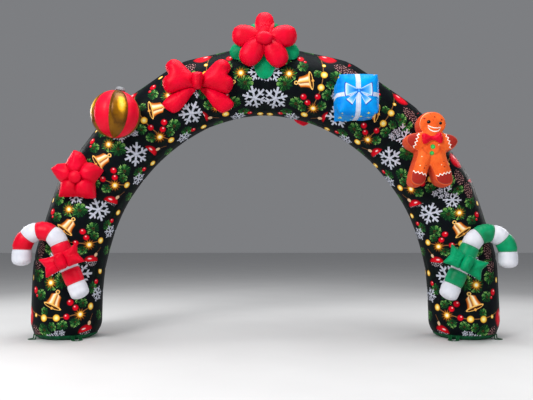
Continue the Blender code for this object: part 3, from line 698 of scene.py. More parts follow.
def surface_of(piece):
    """A piece's cloth, for finding where another one lies on it."""
    mesh = piece.data
    mesh.calc_loop_triangles()
    corners = [vertex.co for vertex in mesh.vertices]
    return BVHTree.FromPolygons(corners, [tuple(t.vertices) for t in mesh.loop_triangles])


surfaces = {"tube": surface_of(tube)}
RAY_START = 3.0  # metres off the arch's middle, clear of everything


def settle(points, node, carriers, facing=-1, spare=0.010, gap=0.0012):
    """Sews a cushion on: its front lies where the CAD says, and its rear is pressed flat on
    what carries it. The cloth keeps a little of its thickness where it is squashed."""
    low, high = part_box(node)
    front = max(point.y * facing for point in points)
    shift = max(low.y * facing, high.y * facing) - front
    depths = [point.y * facing + shift for point in points]
    middle = (max(depths) + min(depths)) / 2
    half = (max(depths) - min(depths)) / 2
    for point, depth in zip(points, depths):
        level = 1.0 + (depth - middle) / half
        for carrier in carriers:
            hit = surfaces[carrier].ray_cast(Vector((point.x, RAY_START * facing, point.z)),
                                             Vector((0.0, -facing, 0.0)))[0]
            if hit is not None:
                depth = max(depth, hit.y * facing + gap + spare * level)
        point.y = depth * facing


def tube_faces_of(stations, sides):
    """Faces of a closed tube whose two ends are single points."""
    last = 1 + stations * sides
    faces = [(0, 1 + (side + 1) % sides, 1 + side) for side in range(sides)]
    for station in range(stations - 1):
        faces += band_faces(1 + station * sides, sides)
    first = last - sides
    faces += [(last, first + side, first + (side + 1) % sides) for side in range(sides)]
    return faces


def cane_point(length, tilt, side):
    """A place and a direction on the cane's middle line, from the hook's end."""
    hook = CANE_HOOK_RADIUS * (math.pi - math.radians(tilt))
    if length < CANE_DROP:
        spot = Vector((-CANE_HOOK_RADIUS, 0.0, length - CANE_DROP))
        along = Vector((0.0, 0.0, 1.0))
    elif length < CANE_DROP + hook:
        angle = math.pi - (length - CANE_DROP) / CANE_HOOK_RADIUS
        spot = Vector((math.cos(angle), 0.0, math.sin(angle))) * CANE_HOOK_RADIUS
        along = Vector((math.sin(angle), 0.0, -math.cos(angle)))
    else:
        angle = math.radians(tilt)
        along = Vector((math.sin(angle), 0.0, -math.cos(angle)))
        spot = Vector((math.cos(angle), 0.0, math.sin(angle))) * CANE_HOOK_RADIUS
        spot += along * (length - CANE_DROP - hook)
    return Vector((spot.x * -side, 0.0, spot.z)), Vector((along.x * -side, 0.0, along.z))


def candy_cane(name, side, hook_centre, tilt):
    """A striped cushion that leans by tilt degrees, its hook to the left where side is -1."""
    total = CANE_DROP + CANE_HOOK_RADIUS * (math.pi - math.radians(tilt)) + CANE_SHAFT
    cap_turns = [math.pi / 2 * row / CANE_CAP_ROWS for row in range(1, CANE_CAP_ROWS)]
    lengths = [-CANE_CAP * math.cos(turn) for turn in cap_turns]
    lengths += [total * row / CANE_ROWS for row in range(CANE_ROWS + 1)]
    lengths += [total + CANE_CAP * math.sin(turn) for turn in cap_turns]

    def ring_point(length, turn):
        """A point of the cloth at a length along the cane and a turn round it."""
        spot, along = cane_point(min(max(length, 0.0), total), tilt, side)
        over_end = max(-length, length - total, 0.0) / CANE_CAP
        radius = CANE_RADIUS * math.sqrt(max(0.0, 1.0 - over_end ** CANE_CAP_BLUNTNESS))
        spot = spot + along * (min(length, 0.0) + max(length - total, 0.0))
        to_seam = min(abs(length - seam) for seam in CANE_SEAMS)
        radius -= CANE_DRAW_IN * math.exp(-(to_seam / CANE_SEAM_WIDTH) ** 2)
        angle = 2 * math.pi * turn
        gathers = math.sin(angle * 17 + length * 40) + 0.7 * math.sin(angle * 29 + 1.3)
        radius += SEAM_GATHER * gathers * math.exp(-to_seam / SEAM_GATHER_LENGTH)
        if over_end > 0:
            from_ring = (over_end - CAP_GATHER_PLACE) / CAP_GATHER_LENGTH
            radius += CAP_GATHER * gathers * math.exp(-from_ring ** 2)
        # the cloth of the hook's inside is squeezed into small folds
        bend = CANE_DROP < length < total - CANE_SHAFT
        squeeze = max(0.0, math.cos(angle)) if bend else 0.0
        radius -= HOOK_FOLD * squeeze * (1.0 + math.sin(length * 260))
        across = Vector((along.z, 0.0, -along.x)) * (1 if side < 0 else -1)
        offset = (across * -math.cos(angle) + Vector((0.0, 1.0, 0.0)) * math.sin(angle)) * radius
        return spot + offset + Vector(hook_centre) + MIDDLE

    sewing = [(-CANE_CAP, 0.0)]
    sewing += [(length, corner / CANE_SIDES) for length in lengths for corner in range(CANE_SIDES)]
    sewing.append((total + CANE_CAP, 0.0))
    points = [ring_point(length, turn) for length, turn in sewing]
    faces = tube_faces_of(len(lengths), CANE_SIDES)
    settle(points, name, ["tube"])
    cane = cloth_object(name + "_satin", points, faces, name, corner_places(sewing, faces))
    surfaces[name] = surface_of(cane)
    return cane


cane_red = candy_cane("cane_red", -1, (-1.779, CANE_DEPTH, 0.729), 23.7)
cane_green = candy_cane("cane_green", 1, (1.774, CANE_DEPTH, 0.711), 25.5)

RED_TONES = (dye(196, 0, 28), dye(216, 0, 38), dye(226, 0, 46))
GREEN_TONES = (dye(0, 110, 66), dye(0, 140, 90), dye(0, 156, 104))


def satin(place, tones):
    """Plain satin: its dye varies a little from place to place."""
    return ramp(grain(place, 9.0, 3.0), (0.25, tones[0]), (0.5, tones[1]), (0.75, tones[2]))


def creased(place):
    """Fine wrinkles of thin filled cloth, as a height."""
    stretched = vector_math("MULTIPLY", place, (1.0, 0.5, 1.0))
    return grain(stretched, 26.0, 4.0) * 2.6 + grain(place, 90.0, 2.0) * 0.5 + weave(place) * 0.12


for cane, tones, label in ((cane_red, RED_TONES, "red"), (cane_green, GREEN_TONES, "green")):
    cane_shader, place = start_cloth(label + "_and_white_satin", cane)
    run, around = sewing_place()
    coloured = (run > CANE_SEAMS[0]) * (run < CANE_SEAMS[1])
    for first, last in ((2, 3), (4, 5), (6, 7)):
        coloured = coloured + (run > CANE_SEAMS[first]) * (run < CANE_SEAMS[last])
    to_seam = abs(run - CANE_SEAMS[0])
    for seam in CANE_SEAMS[1:]:
        to_seam = to_seam.do("MINIMUM", abs(run - seam))
    white = ramp(grain(place, 12.0), (0.3, dye(204, 206, 216)), (0.7, dye(224, 225, 232)))
    colour = over(white, coloured, satin(place, tones))
    stitch = (abs(to_seam - 0.009) < 0.0011) * ((around * 620.0).do("SINE") > -0.2)
    colour = over(colour, stitch * 0.35, dye(150, 140, 150))
    # painted shade: the cloth is darkened right at each seam, where the seam is also cut in as a groove
    colour = over(colour, soft(to_seam, 0.004, 0.0) * 0.35, dye(96, 60, 70))
    height = creased(place) - stitch * 0.5 - soft(to_seam, 0.005, 0.0) * 1.5
    dress(cane_shader, colour, 0.42, height, gloss=0.16)


# ---- bow on each cane ----
# Two star-cornered lobes and a barrel knot of the cane's own satin, each filled on its own and
# stitched across the shaft.
CANE_LOBE = ((0.008, 0.052), (0.036, 0.061), (0.100, 0.070), (0.163, 0.089), (0.133, 0.006),
             (0.163, -0.077), (0.100, -0.066), (0.036, -0.063), (0.008, -0.050))
CANE_KNOT = ((0.042, 0.030), (0.030, 0.066), (-0.030, 0.066), (-0.042, 0.030),
             (-0.042, -0.030), (-0.030, -0.066), (0.030, -0.066), (0.042, -0.030))

# how any filled cushion here is cut, and how its cloth gathers at the rim
NOTCH_SIZE = 0.040
NOTCH_SPAN = 0.030
CLOTH_FRAMES = 20
RIM_PARTS = 6  # points kept for each step of an outline
RIM_INSET = 0.0025
RIM_SPAN = 0.06
RIM_GATHER_SPAN = 0.25
FOLD_SPAN = 0.10
BAND_SHARE = 0.3  # of the rows, where a side band is sewn in
BAND_BULGE = 0.004
OUTLINE_KEPT = 0.35  # the share of its sideways move that blown cloth keeps


def round_outline(points, steps, cut=0.25):
    """Even steps round an outline, counter-clockwise, its corners cut off at a share of each side."""
    corners = [Vector(point) for point in points]
    if sum(a.cross(b) for a, b in zip(corners, corners[1:] + corners[:1])) < 0:
        corners.reverse()
    for trim in (cut, 0.25):
        corners = [a.lerp(b, share) for a, b in zip(corners, corners[1:] + corners[:1])
                   for share in (trim, 1 - trim)]
    sides = [(a, b, (b - a).length) for a, b in zip(corners, corners[1:] + corners[:1])]
    step = sum(length for _, _, length in sides) / steps
    outline = []
    walked = 0.0
    for a, b, length in sides:
        while len(outline) < steps and len(outline) * step <= walked + length:
            outline.append(a.lerp(b, (len(outline) * step - walked) / length))
        walked += length
    return outline


def circle(radius, steps, tall=1.0):
    """A round outline, or an oval one where tall isn't 1."""
    turns = [2 * math.pi * step / steps for step in range(steps)]
    return [Vector((math.cos(turn), math.sin(turn) * tall)) * radius for turn in turns]


def to_side(spot, a, b):
    """How far a spot lies from the line between two points."""
    share = max(0.0, min(1.0, (spot - a).dot(b - a) / (b - a).length_squared))
    return (spot - a.lerp(b, share)).length


def blow_up(points, faces, hold, slack, most, aside=1.0):
    """Blows a shape up as cloth that is a little too large for its seams, over twenty frames.

    hold(index, point) is 1 on a seam. The rest billows and puckers by up to most metres, and keeps
    the share aside of its sideways move, so the outline stays."""
    cushion_mesh = bpy.data.meshes.new("blown_cloth")
    cushion_mesh.from_pydata(points, [], faces)
    cushion = bpy.data.objects.new("blown_cloth", cushion_mesh)
    bpy.context.scene.collection.objects.link(cushion)
    seams = cushion.vertex_groups.new(name="seams")
    for index, point in enumerate(points):
        held = min(1.0, hold(index, point))
        if held > 0.02:
            seams.add([index], held, "REPLACE")
    blowing = cushion.modifiers.new("blowing", "CLOTH")
    cloth = blowing.settings
    cloth.mass = 0.3
    cloth.bending_stiffness = 0.5
    cloth.shrink_min = -slack
    cloth.use_pressure = True
    cloth.uniform_pressure_force = 4.0
    cloth.effector_weights.gravity = 0.0
    cloth.vertex_group_mass = "seams"
    blowing.collision_settings.use_collision = False
    blowing.point_cache.frame_end = CLOTH_FRAMES
    for frame_number in range(1, CLOTH_FRAMES + 1):
        bpy.context.scene.frame_set(frame_number)
    blown = cushion.evaluated_get(bpy.context.evaluated_depsgraph_get())
    moved = []
    for point, vertex in zip(points, blown.data.vertices):
        move = (vertex.co - point) * Vector((aside, 1.0, aside))
        moved.append(point + move * min(1.0, most / max(move.length, 1e-9)))
    bpy.data.objects.remove(cushion)
    bpy.data.meshes.remove(cushion_mesh)
    bpy.context.scene.frame_set(1)
    return moved


def filled(outline, half, crown=0.5, rows=36, span=0.10, gusset=0.0, crease=None, gathers=0.0012,
           seed=1, slack=0.035, swell=0.14, notches=()):
    """The points and faces of a cushion of two panels sewn round an outline, facing -Y.

    The cloth rises over span metres in from the rim, and at once beside a notch. gusset is the
    share of its half thickness that a side band takes up, crease(spot) the share that sewn
    creases take away, and swell the share that the blown cloth may move."""
    chance = random.Random(seed)
    waves = [(count, chance.uniform(0, 6.3)) for count in
             (chance.randint(9, 15), chance.randint(19, 27), chance.randint(33, 47))]
    steps = len(outline)
    near = kdtree.KDTree(steps * RIM_PARTS)
    near_notch = kdtree.KDTree(steps * RIM_PARTS)
    run = [0.0]
    for step, (a, b) in enumerate(zip(outline, outline[1:] + outline[:1])):
        for part in range(RIM_PARTS):
            spot = a.lerp(b, part / RIM_PARTS)
            in_notch = any((spot - Vector(notch)).length < NOTCH_SIZE for notch in notches)
            (near_notch if in_notch else near).insert(spot.to_3d(), step * RIM_PARTS + part)
        run.append(run[-1] + (b - a).length)
    near.balance()
    near_notch.balance()

    def depth_at(spot, level):
        inside = min(1.0, near.find(spot.to_3d())[2] / span)
        if notches:
            inside = min(inside, near_notch.find(spot.to_3d())[2] / NOTCH_SPAN)
        rise = (1.0 - (1.0 - inside) ** 2) ** crown
        taken = crease(spot) if crease else 0.0
        return half * (gusset * level + (1.0 - gusset) * rise) * (1.0 - taken)

    middle = depth_at(Vector((0.0, 0.0)), 1.0)
    points = [Vector((0.0, middle, 0.0))]
    sewing = [(0.0, -1.0)]
    band = BAND_SHARE if gusset else 0.0
    for row in range(1, rows):
        way = 2 * row / rows - 1  # -1 at the rear's middle, 1 at the front's
        level = min(1.0, abs(way) / band) if band else 1.0
        over_edge = max(0.0, abs(way) - band) / (1.0 - band)
        out = math.cos(math.pi / 2 * over_edge)
        seamness = math.exp(-((abs(way) - band) / RIM_SPAN) ** 2)
        for step, corner in enumerate(outline):
            angle = 2 * math.pi * step / steps
            wave = sum(math.sin(angle * count + phase) for count, phase in waves)
            fold = wave * math.exp(-(1.0 - out) / FOLD_SPAN) * min(1.0, abs(way) * 5)
            deep = depth_at(corner * out, level) * (abs(way) > 1e-6) + gathers * fold
            length = corner.length * out - RIM_INSET * seamness
            length += gathers * 0.5 * wave * math.exp(-(way / RIM_GATHER_SPAN) ** 2)
            if band:
                length += BAND_BULGE * (1.0 - level * level)
            spot = corner * (length / corner.length)
            points.append(Vector((spot.x, -math.copysign(deep, way), spot.y)))
            sewing.append((run[step], way))
    points.append(Vector((0.0, -middle, 0.0)))
    sewing.append((0.0, 1.0))
    faces = tube_faces_of(rows - 1, steps)

    def hold(index, point):
        on_seam = abs(abs(sewing[index][1]) - band) < 0.03
        drawn = crease(Vector((point.x, point.z))) if crease else 0.0
        return 1.0 if on_seam else max(0.0, drawn - 0.15) * 2.5

    points = blow_up(points, faces, hold, slack, half * swell, OUTLINE_KEPT)
    return points, faces, corner_places(sewing, faces)


def put(points, where, turn=0.0, lean=0.0, offset=(0.0, 0.0)):
    """Turns a cushion in its own plane, leans its top back, and moves it to its place."""
    spin = Matrix.Rotation(math.radians(-turn), 4, "Y")
    tip = Matrix.Rotation(math.radians(-lean), 4, "X")
    matrix = Matrix.Translation(Vector(where) + MIDDLE) @ tip @ spin
    aside = Vector((offset[0], 0.0, offset[1]))
    return [matrix @ (point + aside) for point in points]


def centred(points, middle=None):
    """An outline's middle, and the outline as seen from there."""
    if middle is None:
        middle = sum((Vector(point) for point in points), Vector((0.0, 0.0))) / len(points)
    return Vector(middle), [Vector(point) - Vector(middle) for point in points]


def sew_on(node, shape, where, carriers, turn=0.0, lean=0.0, offset=(0.0, 0.0), facing=-1,
           spare=0.010, half_turn=False):
    """Puts a filled shape in its place on its carriers and makes it a piece."""
    points, faces, places = shape
    points = put(points, where, turn, lean, offset)
    if half_turn:
        about = Matrix.Rotation(math.pi, 4, "Z")
        points = [MIDDLE + about @ (point - MIDDLE) for point in points]
    settle(points, node, carriers, facing, spare)
    piece = cloth_object(node + "_satin", points, faces, node, places)
    surfaces[node] = surface_of(piece)
    return piece


def lobe_shape(outline, mirror, half, steps=120, cut=0.25, span=0.10, middle=None, seed=1,
               knot=0.045, tight=0.35, pleats=0.08, slack=0.02, notch=None):
    """A filled bow lobe and its middle: points are out and up from the knot, mirror -1 is left."""
    middle, points = centred(outline, middle)
    points = [(out * mirror, up) for out, up in points]

    def pinch(spot):
        """Pleats run out from under the knot, which squeezes the lobe."""
        out = spot.x * mirror + middle.x
        beside = abs(math.sin(math.atan2(spot.y + middle.y, max(out, 0.01)) * 5.0 + seed))
        squeeze = math.exp(-(out / knot) ** 2)
        return tight * squeeze + pleats * math.exp(-(beside / 0.30) ** 2) * math.exp(-out / (1.6 * knot))

    notches = [((notch[0] - middle.x) * mirror, notch[1] - middle.y)] if notch else ()
    shape = filled(round_outline(points, steps, cut), half, span=span, seed=seed, crease=pinch,
                   slack=slack, notches=notches)
    return shape, (middle.x * mirror, middle.y)


red_pieces, green_pieces = [], []
for prefix, cane, where, turn, pieces in (
        ("cane_red_bow", "cane_red", (-1.577, -0.455, 0.646), 24.0, red_pieces),
        ("cane_green_bow", "cane_green", (1.555, -0.455, 0.630), -27.0, green_pieces)):
    slot = "red_cloth" if cane == "cane_red" else "green_cloth"
    carriers = ["tube", cane]
    for side_name, mirror in (("left", -1), ("right", 1)):
        shape, offset = lobe_shape(CANE_LOBE, mirror, 0.050, 144, 0.10, 0.06, seed=11 + mirror,
                                   knot=0.058)
        node = prefix + "_" + side_name
        pieces.append(sew_on(node, shape, where, carriers, turn, offset=offset))
        carriers.append(node)
    knot = filled(round_outline(CANE_KNOT, 90), 0.048, span=0.045, seed=14, slack=0.015)
    pieces.append(sew_on(prefix + "_knot", knot, Vector(where) + Vector((0.0, -0.035, 0.0)), carriers,
                         turn))


# ---- star ----
# Five fat arms of red satin with a crease sewn between each pair, drawn down in the middle by a
# covered button.
STAR_PLACE = (-1.520, -0.318, 1.312)
STAR_OUTLINE = (
    (-0.020, 0.225), (0.037, 0.202), (0.069, 0.166), (0.088, 0.122), (0.133, 0.116), (0.189, 0.086),
    (0.225, 0.056), (0.189, 0.002), (0.155, -0.045), (0.161, -0.110), (0.164, -0.165),
    (0.141, -0.174), (0.077, -0.172), (0.015, -0.158), (-0.066, -0.161), (-0.138, -0.161),
    (-0.125, -0.083), (-0.122, -0.045), (-0.154, -0.009), (-0.208, 0.069), (-0.146, 0.110),
    (-0.087, 0.115), (-0.058, 0.164))
STAR_VALLEYS = ((0.088, 0.122), (0.155, -0.045), (0.015, -0.158), (-0.122, -0.045), (-0.087, 0.115))
STAR_MIDDLE = Vector((0.016, -0.005))
STAR_FOLD = 0.17  # shares of the half thickness that are drawn in
STAR_FOLD_WIDTH = 0.012
STAR_STITCH = 0.12
STAR_STITCH_WIDTH = 0.004
BUTTON_PULL = 0.30
BUTTON_PULL_WIDTH = 0.060


def star_crease(spot):
    """Deepest at each valley of the outline, running in to the button, where it is drawn down."""
    away = (spot - STAR_MIDDLE).length
    beside = min(to_side(spot, STAR_MIDDLE, Vector(valley)) for valley in STAR_VALLEYS)
    crease = STAR_FOLD * math.exp(-(beside / STAR_FOLD_WIDTH) ** 2)
    crease += STAR_STITCH * math.exp(-(beside / STAR_STITCH_WIDTH) ** 2)
    pull = BUTTON_PULL * math.exp(-(away / BUTTON_PULL_WIDTH) ** 2)
    return crease * min(1.0, away / BUTTON_PULL_WIDTH) + pull


star_shape = filled(round_outline(STAR_OUTLINE, 220, 0.06), 0.088, crown=0.66, rows=48, span=0.100,
                    crease=star_crease, seed=21, slack=0.012, swell=0.08)
red_pieces.append(sew_on("star_cushion", star_shape, STAR_PLACE, ["tube"]))
button_shape = filled(circle(0.050, 72), 0.022, span=0.047, seed=22, gathers=0.0006, slack=0.015)
star_button = (STAR_PLACE[0] + 0.014, -0.400, STAR_PLACE[2] - 0.005)
red_pieces.append(sew_on("star_button", button_shape, star_button, ["star_cushion"],
                         spare=0.006))


# ---- large bow, front and back ----
# Two heart-shaped loops over two tails, with a square knot, all of filled red satin. The back of
# the arch carries the same bow turned half round.
BOW_LOOP = ((0.020, 0.050), (0.085, 0.112), (0.150, 0.182), (0.205, 0.194), (0.252, 0.167),
            (0.271, 0.115), (0.230, 0.060), (0.271, 0.045), (0.293, 0.005), (0.278, -0.055),
            (0.238, -0.095), (0.150, -0.068), (0.080, -0.045), (0.020, -0.035))
BOW_TAIL = ((0.020, -0.030), (0.100, -0.030), (0.226, -0.087), (0.300, -0.167), (0.276, -0.202),
            (0.243, -0.228), (0.191, -0.252), (0.120, -0.198), (0.050, -0.090), (0.015, -0.060))
BOW_KNOT = ((0.048, 0.045), (0.040, 0.070), (-0.040, 0.070), (-0.048, 0.045),
            (-0.036, -0.045), (-0.026, -0.068), (0.026, -0.068), (0.036, -0.045))
BOW_PLACE = Vector((-0.545, 0.0, 2.082))
TAIL_DEPTH = -0.300
LOOP_DEPTH = -0.325
KNOT_DEPTH = -0.385

parts_of_bow = []
for side_name, mirror in (("left", -1), ("right", 1)):
    tail = lobe_shape(BOW_TAIL, mirror, 0.045, 120, span=0.06, seed=31 + mirror, pleats=0.03)
    parts_of_bow.append(("tail_" + side_name, tail, TAIL_DEPTH))
for side_name, mirror in (("left", -1), ("right", 1)):
    loop = lobe_shape(BOW_LOOP, mirror, 0.072, 170, span=0.085, middle=(0.150, 0.050),
                      seed=35, knot=0.060, tight=0.25, pleats=0.03, notch=(0.232, 0.060))
    parts_of_bow.append(("loop_" + side_name, loop, LOOP_DEPTH))
knot = filled(round_outline(BOW_KNOT, 90), 0.055, span=0.045, seed=37)
parts_of_bow.append(("knot", (knot, (0.0, 0.0)), KNOT_DEPTH))

for prefix, facing in (("bow_front", -1), ("bow_back", 1)):
    carriers = ["tube"]
    for kind, (shape, offset), depth in parts_of_bow:
        node = prefix + "_" + kind
        red_pieces.append(sew_on(node, shape, BOW_PLACE + Vector((0.0, depth, 0.0)), carriers,
                                 offset=offset, facing=facing, half_turn=facing > 0))
        carriers.append(node)


# ---- flower ----
# Five fat red petals over five green leaves, each filled on its own and gathered at its root
# under a covered button, sewn to the front of the crown.
FLOWER_PLACE = Vector((-0.005, 0.0, 2.448))
# of each: its angle, start, reach, width, depth, backward lean, and the share of its width that
# its root keeps
PETALS = ((90.0, -0.040, 0.250, 0.200, -0.290, 14.0, 0.60),
          (173.0, 0.022, 0.270, 0.212, -0.320, 0.0, 0.74),
          (6.0, 0.022, 0.268, 0.212, -0.320, 0.0, 0.74),
          (231.0, 0.022, 0.277, 0.212, -0.345, 0.0, 0.74),
          (304.0, 0.022, 0.279, 0.206, -0.345, 0.0, 0.74))
LEAVES = ((203.0, 0.022, 0.312, 0.215, -0.250, 0.0, 0.55),
          (336.5, 0.022, 0.310, 0.215, -0.250, 0.0, 0.55),
          (270.0, 0.022, 0.332, 0.235, -0.280, 0.0, 0.55),
          (127.0, -0.030, 0.176, 0.130, -0.200, 10.0, 0.55),
          (52.0, -0.028, 0.177, 0.132, -0.200, 11.0, 0.55))
PETAL_STEPS = 16


def petal_outline(start, reach, width, tip, root):
    """A petal or leaf along +X, from its root to its tip; tip is how pointed it is."""
    points = []
    for step in range(PETAL_STEPS):
        angle = 2 * math.pi * step / PETAL_STEPS
        along = 0.5 + 0.5 * math.cos(angle)
        breadth = abs(math.sin(angle)) ** 0.8 * (root + (1 - root) * along) * (1 - tip * along ** 3)
        points.append((start + along * (reach - start),
                       math.copysign(breadth, math.sin(angle)) * width / 2))
    return points


carriers = ["tube"]
for kind, table, tip, half, slot, pieces in (
        ("flower_leaf", LEAVES, 0.25, 0.040, "green_cloth", green_pieces),
        ("flower_petal", PETALS, 0.05, 0.064, "red_cloth", red_pieces)):
    for number, (angle, start, reach, width, depth, lean, root) in enumerate(table, 1):
        middle, outline = centred(petal_outline(start, reach, width, tip, root))
        shape = filled(round_outline(outline, 130), half, span=0.080, seed=40 + number, gathers=0.0016,
                       slack=0.02)
        node = "{}_{}".format(kind, number)
        pieces.append(sew_on(node, shape, FLOWER_PLACE + Vector((0.0, depth, 0.0)), carriers,
                             angle, lean, (middle.x, middle.y)))
        carriers.append(node)
button_shape = filled(circle(0.071, 90, 0.74), 0.032, span=0.045, seed=48, gathers=0.0008, slack=0.015)
flower_button = FLOWER_PLACE + Vector((-0.002, -0.400, -0.024))
red_pieces.append(sew_on("flower_button", button_shape, flower_button, carriers))


# ---- ball ----
# Eight gores, red satin and gold foil by turns, sewn from pole to pole. The foil is stiffer and
# crackles along its seams.
BALL_RADIUS = 0.193
BALL_GORES = 8
BALL_PLACE = Vector((-1.180, -0.440, 1.798))
BALL_LEAN = 4.0
BALL_SPIN = -2.0
GORE_DRAW_IN = 0.030
GORE_GROOVE = 0.008
FOIL_CRACKLE = 0.010
BALL_ROWS = 72
BALL_SIDES = 192

gore_turn = (Matrix.Rotation(math.radians(BALL_LEAN), 4, "Y")
             @ Matrix.Rotation(math.radians(BALL_SPIN), 4, "Z"))
ball_matrix = Matrix.Translation(BALL_PLACE + MIDDLE) @ gore_turn
ball_points = []
ball_sewing = []
for row in range(BALL_ROWS + 1):
    latitude = math.pi * row / BALL_ROWS - math.pi / 2
    for side in range(1 if row in (0, BALL_ROWS) else BALL_SIDES):
        angle = 2 * math.pi * side / BALL_SIDES
        gore = (angle / (2 * math.pi) * BALL_GORES) % 1.0
        near = min(gore, 1 - gore)
        level = math.cos(latitude)
        crackle = noise.noise(Vector((math.cos(angle) * 3, math.sin(angle) * 3, latitude * 9)))
        out = BALL_RADIUS * level * (1.0 - GORE_DRAW_IN * math.exp(-(near / 0.14) ** 2)
                                     - GORE_GROOVE * math.exp(-(near / 0.02) ** 2)
                                     + FOIL_CRACKLE * crackle * math.exp(-near / 0.10))
        high = BALL_RADIUS * math.sin(latitude) * (0.968 + 0.032 * level)
        ball_points.append(ball_matrix @ Vector((math.cos(angle) * out, math.sin(angle) * out, high)))
        ball_sewing.append((side / BALL_SIDES * BALL_GORES, latitude))
ball_faces = [tuple(reversed(face)) for face in tube_faces_of(BALL_ROWS - 1, BALL_SIDES)]
settle(ball_points, "bauble_ball", ["tube"])
# the count of gores starts again at the first seam, and all of them meet at the poles
ball_places = []
for face in ball_faces:
    runs = [ball_sewing[corner] for corner in face]
    wraps = max(r for r, _ in runs) - min(r for r, _ in runs) > BALL_GORES / 2
    middle = [r + BALL_GORES if wraps and r < BALL_GORES / 2 else r for r, _ in runs]
    pole = sum(middle) / len(middle)
    ball_places.append([(r if abs(latitude) < 1.57 else pole, latitude)
                        for r, (_, latitude) in zip(middle, runs)])
ball = cloth_object("bauble_ball_gores", ball_points, ball_faces, "bauble_ball",
                    ball_places)
surfaces["bauble_ball"] = surface_of(ball)

ball_shader, place = start_cloth("red_satin_and_gold_foil", ball)
gore_run, latitude = sewing_place()
gore_place = gore_run.do("FRACT")
golden = (gore_run * 0.5).do("FRACT") < 0.5
to_seam = gore_place.do("PINGPONG", 0.5)
# painted reflection: the foil's colour carries one broad bright patch of mirrored light and the dark round
# it
shine_across = (gore_place - 0.64) * 1.25
shine_up = (latitude - 0.28) * 0.85
shine_reach = (shine_across * shine_across + shine_up * shine_up) ** 0.5 + grain(place, 30.0) * 0.34
foil = ramp(shine_reach, (0.20, dye(255, 222, 96)), (0.38, dye(232, 170, 16)), (0.52, dye(146, 94, 0)),
            (0.85, dye(88, 52, 0)), (1.3, dye(124, 80, 0)))
crackles = Ink.node("TexNoise", {"Vector": place, "Scale": 34.0, "Detail": 4.0, "Distortion": 0.8})
colour = over(satin(place, RED_TONES), golden, foil)
# painted shade: both cloths are darkened along each seam, in its groove
colour = over(colour, soft(to_seam, 0.02, 0.0) * 0.5, dye(80, 10, 10))
foil_height = crackles * golden * (0.6 + soft(to_seam, 0.16, 0.0) * 9.0)
dress(ball_shader, colour, 0.44 - golden * 0.08, creased(place) * (1.0 - golden) + foil_height, gloss=0.18)
Ink.tree.links.new((golden * 0.25).socket, ball_shader.inputs["Metallic"])

# the ball's cap: a short grey cone of coated cloth with a ribbed skirt
CAP_LEAN = 10.0
CAP_BASE = BALL_RADIUS * 0.97 + 0.0005  # just clear of the ball's drawn-in pole
CAP_RIBS = 16
CAP_SIDES = 96
CAP_PROFILE = ((0.0, 0.000), (0.020, 0.000), (0.037, 0.001), (0.0385, 0.006), (0.0375, 0.012),
               (0.0345, 0.020), (0.0315, 0.026), (0.029, 0.0295), (0.024, 0.0312), (0.012, 0.0315),
               (0.0, 0.0315))
cap_turn = Matrix.Rotation(math.radians(CAP_LEAN), 4, "Y")
cap_points = []
for radius, rise in CAP_PROFILE:
    for side in range(CAP_SIDES if radius else 1):
        angle = 2 * math.pi * side / CAP_SIDES
        rib = 1.0 + 0.02 * math.cos(angle * CAP_RIBS) * (0.005 < rise < 0.025)
        spot = Vector((math.cos(angle) * radius * rib, math.sin(angle) * radius * rib, CAP_BASE + rise))
        cap_points.append(BALL_PLACE + MIDDLE + cap_turn @ spot)
cap_faces = [tuple(reversed(face)) for face in tube_faces_of(len(CAP_PROFILE) - 2, CAP_SIDES)]
cap_piece = cloth_object("bauble_cap_cloth", cap_points, cap_faces, "bauble_cap")
cap_shader, place = start_cloth("silver_coated_cloth", cap_piece)
cap_tone = ramp(grain(place, 40.0, 3.0), (0.3, dye(118, 120, 124)), (0.7, dye(150, 152, 156)))
dress(cap_shader, cap_tone, 0.45, grain(place, 120.0, 3.0) * 0.5 + weave(place) * 0.2)
cap_shader.inputs["Metallic"].default_value = 0.2


# ---- gift box ----
# A cube of six blue satin squares, filled until its faces crown and its corners pull in. The
# ribbon, its bow and small stars are printed on the cloth.
GIFT_SIZE = 0.295
GIFT_PLACE = Vector((0.724, -0.4095, 1.9405))
GIFT_CUTS = 31
FACE_CROWN = 0.050
CORNER_PULL = 0.020
LOW_CORNER = Vector((-0.050, 0.0, -0.075))  # how far the lower left corner at the rear sticks out

gift_mesh = bmesh.new()
bmesh.ops.create_cube(gift_mesh, size=1.0)
bmesh.ops.subdivide_edges(gift_mesh, edges=gift_mesh.edges, cuts=GIFT_CUTS, use_grid_fill=True)
gift_points = []
gift_spots = []
for vertex in gift_mesh.verts:
    spot = vertex.co * 2
    crowned = Vector()
    for axis in range(3):
        others = [1.0 - abs(spot[(axis + k) % 3]) ** 2.5 for k in (1, 2)]
        crowned[axis] = spot[axis] * (0.500 + FACE_CROWN * others[0] * others[1]
                                      - CORNER_PULL * sum(others) / 2 * abs(spot[axis]) ** 4)
    edges = sorted(abs(a) for a in spot)
    near_edge = max(0.0, edges[1] - 0.80) / 0.20
    gathers = noise.noise(spot * 6.0) * 0.010 * near_edge + noise.noise(spot * 2.2) * 0.006
    crowned *= 1.0 - 0.012 * max(0.0, edges[1] - 0.96) / 0.04 + gathers
    crowned += LOW_CORNER * (max(0.0, -spot.x) * max(0.0, spot.y) * max(0.0, -spot.z)) ** 1.2
    gift_points.append(crowned * GIFT_SIZE)
    gift_spots.append(spot.copy())
gift_faces = [tuple(vertex.index for vertex in face.verts) for face in gift_mesh.faces]
gift_mesh.free()


def gift_hold(index, point):
    """The rear square is held by its stitches, and the twelve edges a little."""
    held = 1.0 if gift_spots[index].y > 0.99 else 0.0
    return max(held, 0.12 if sorted(abs(a) for a in gift_spots[index])[1] > 0.999 else 0.0)


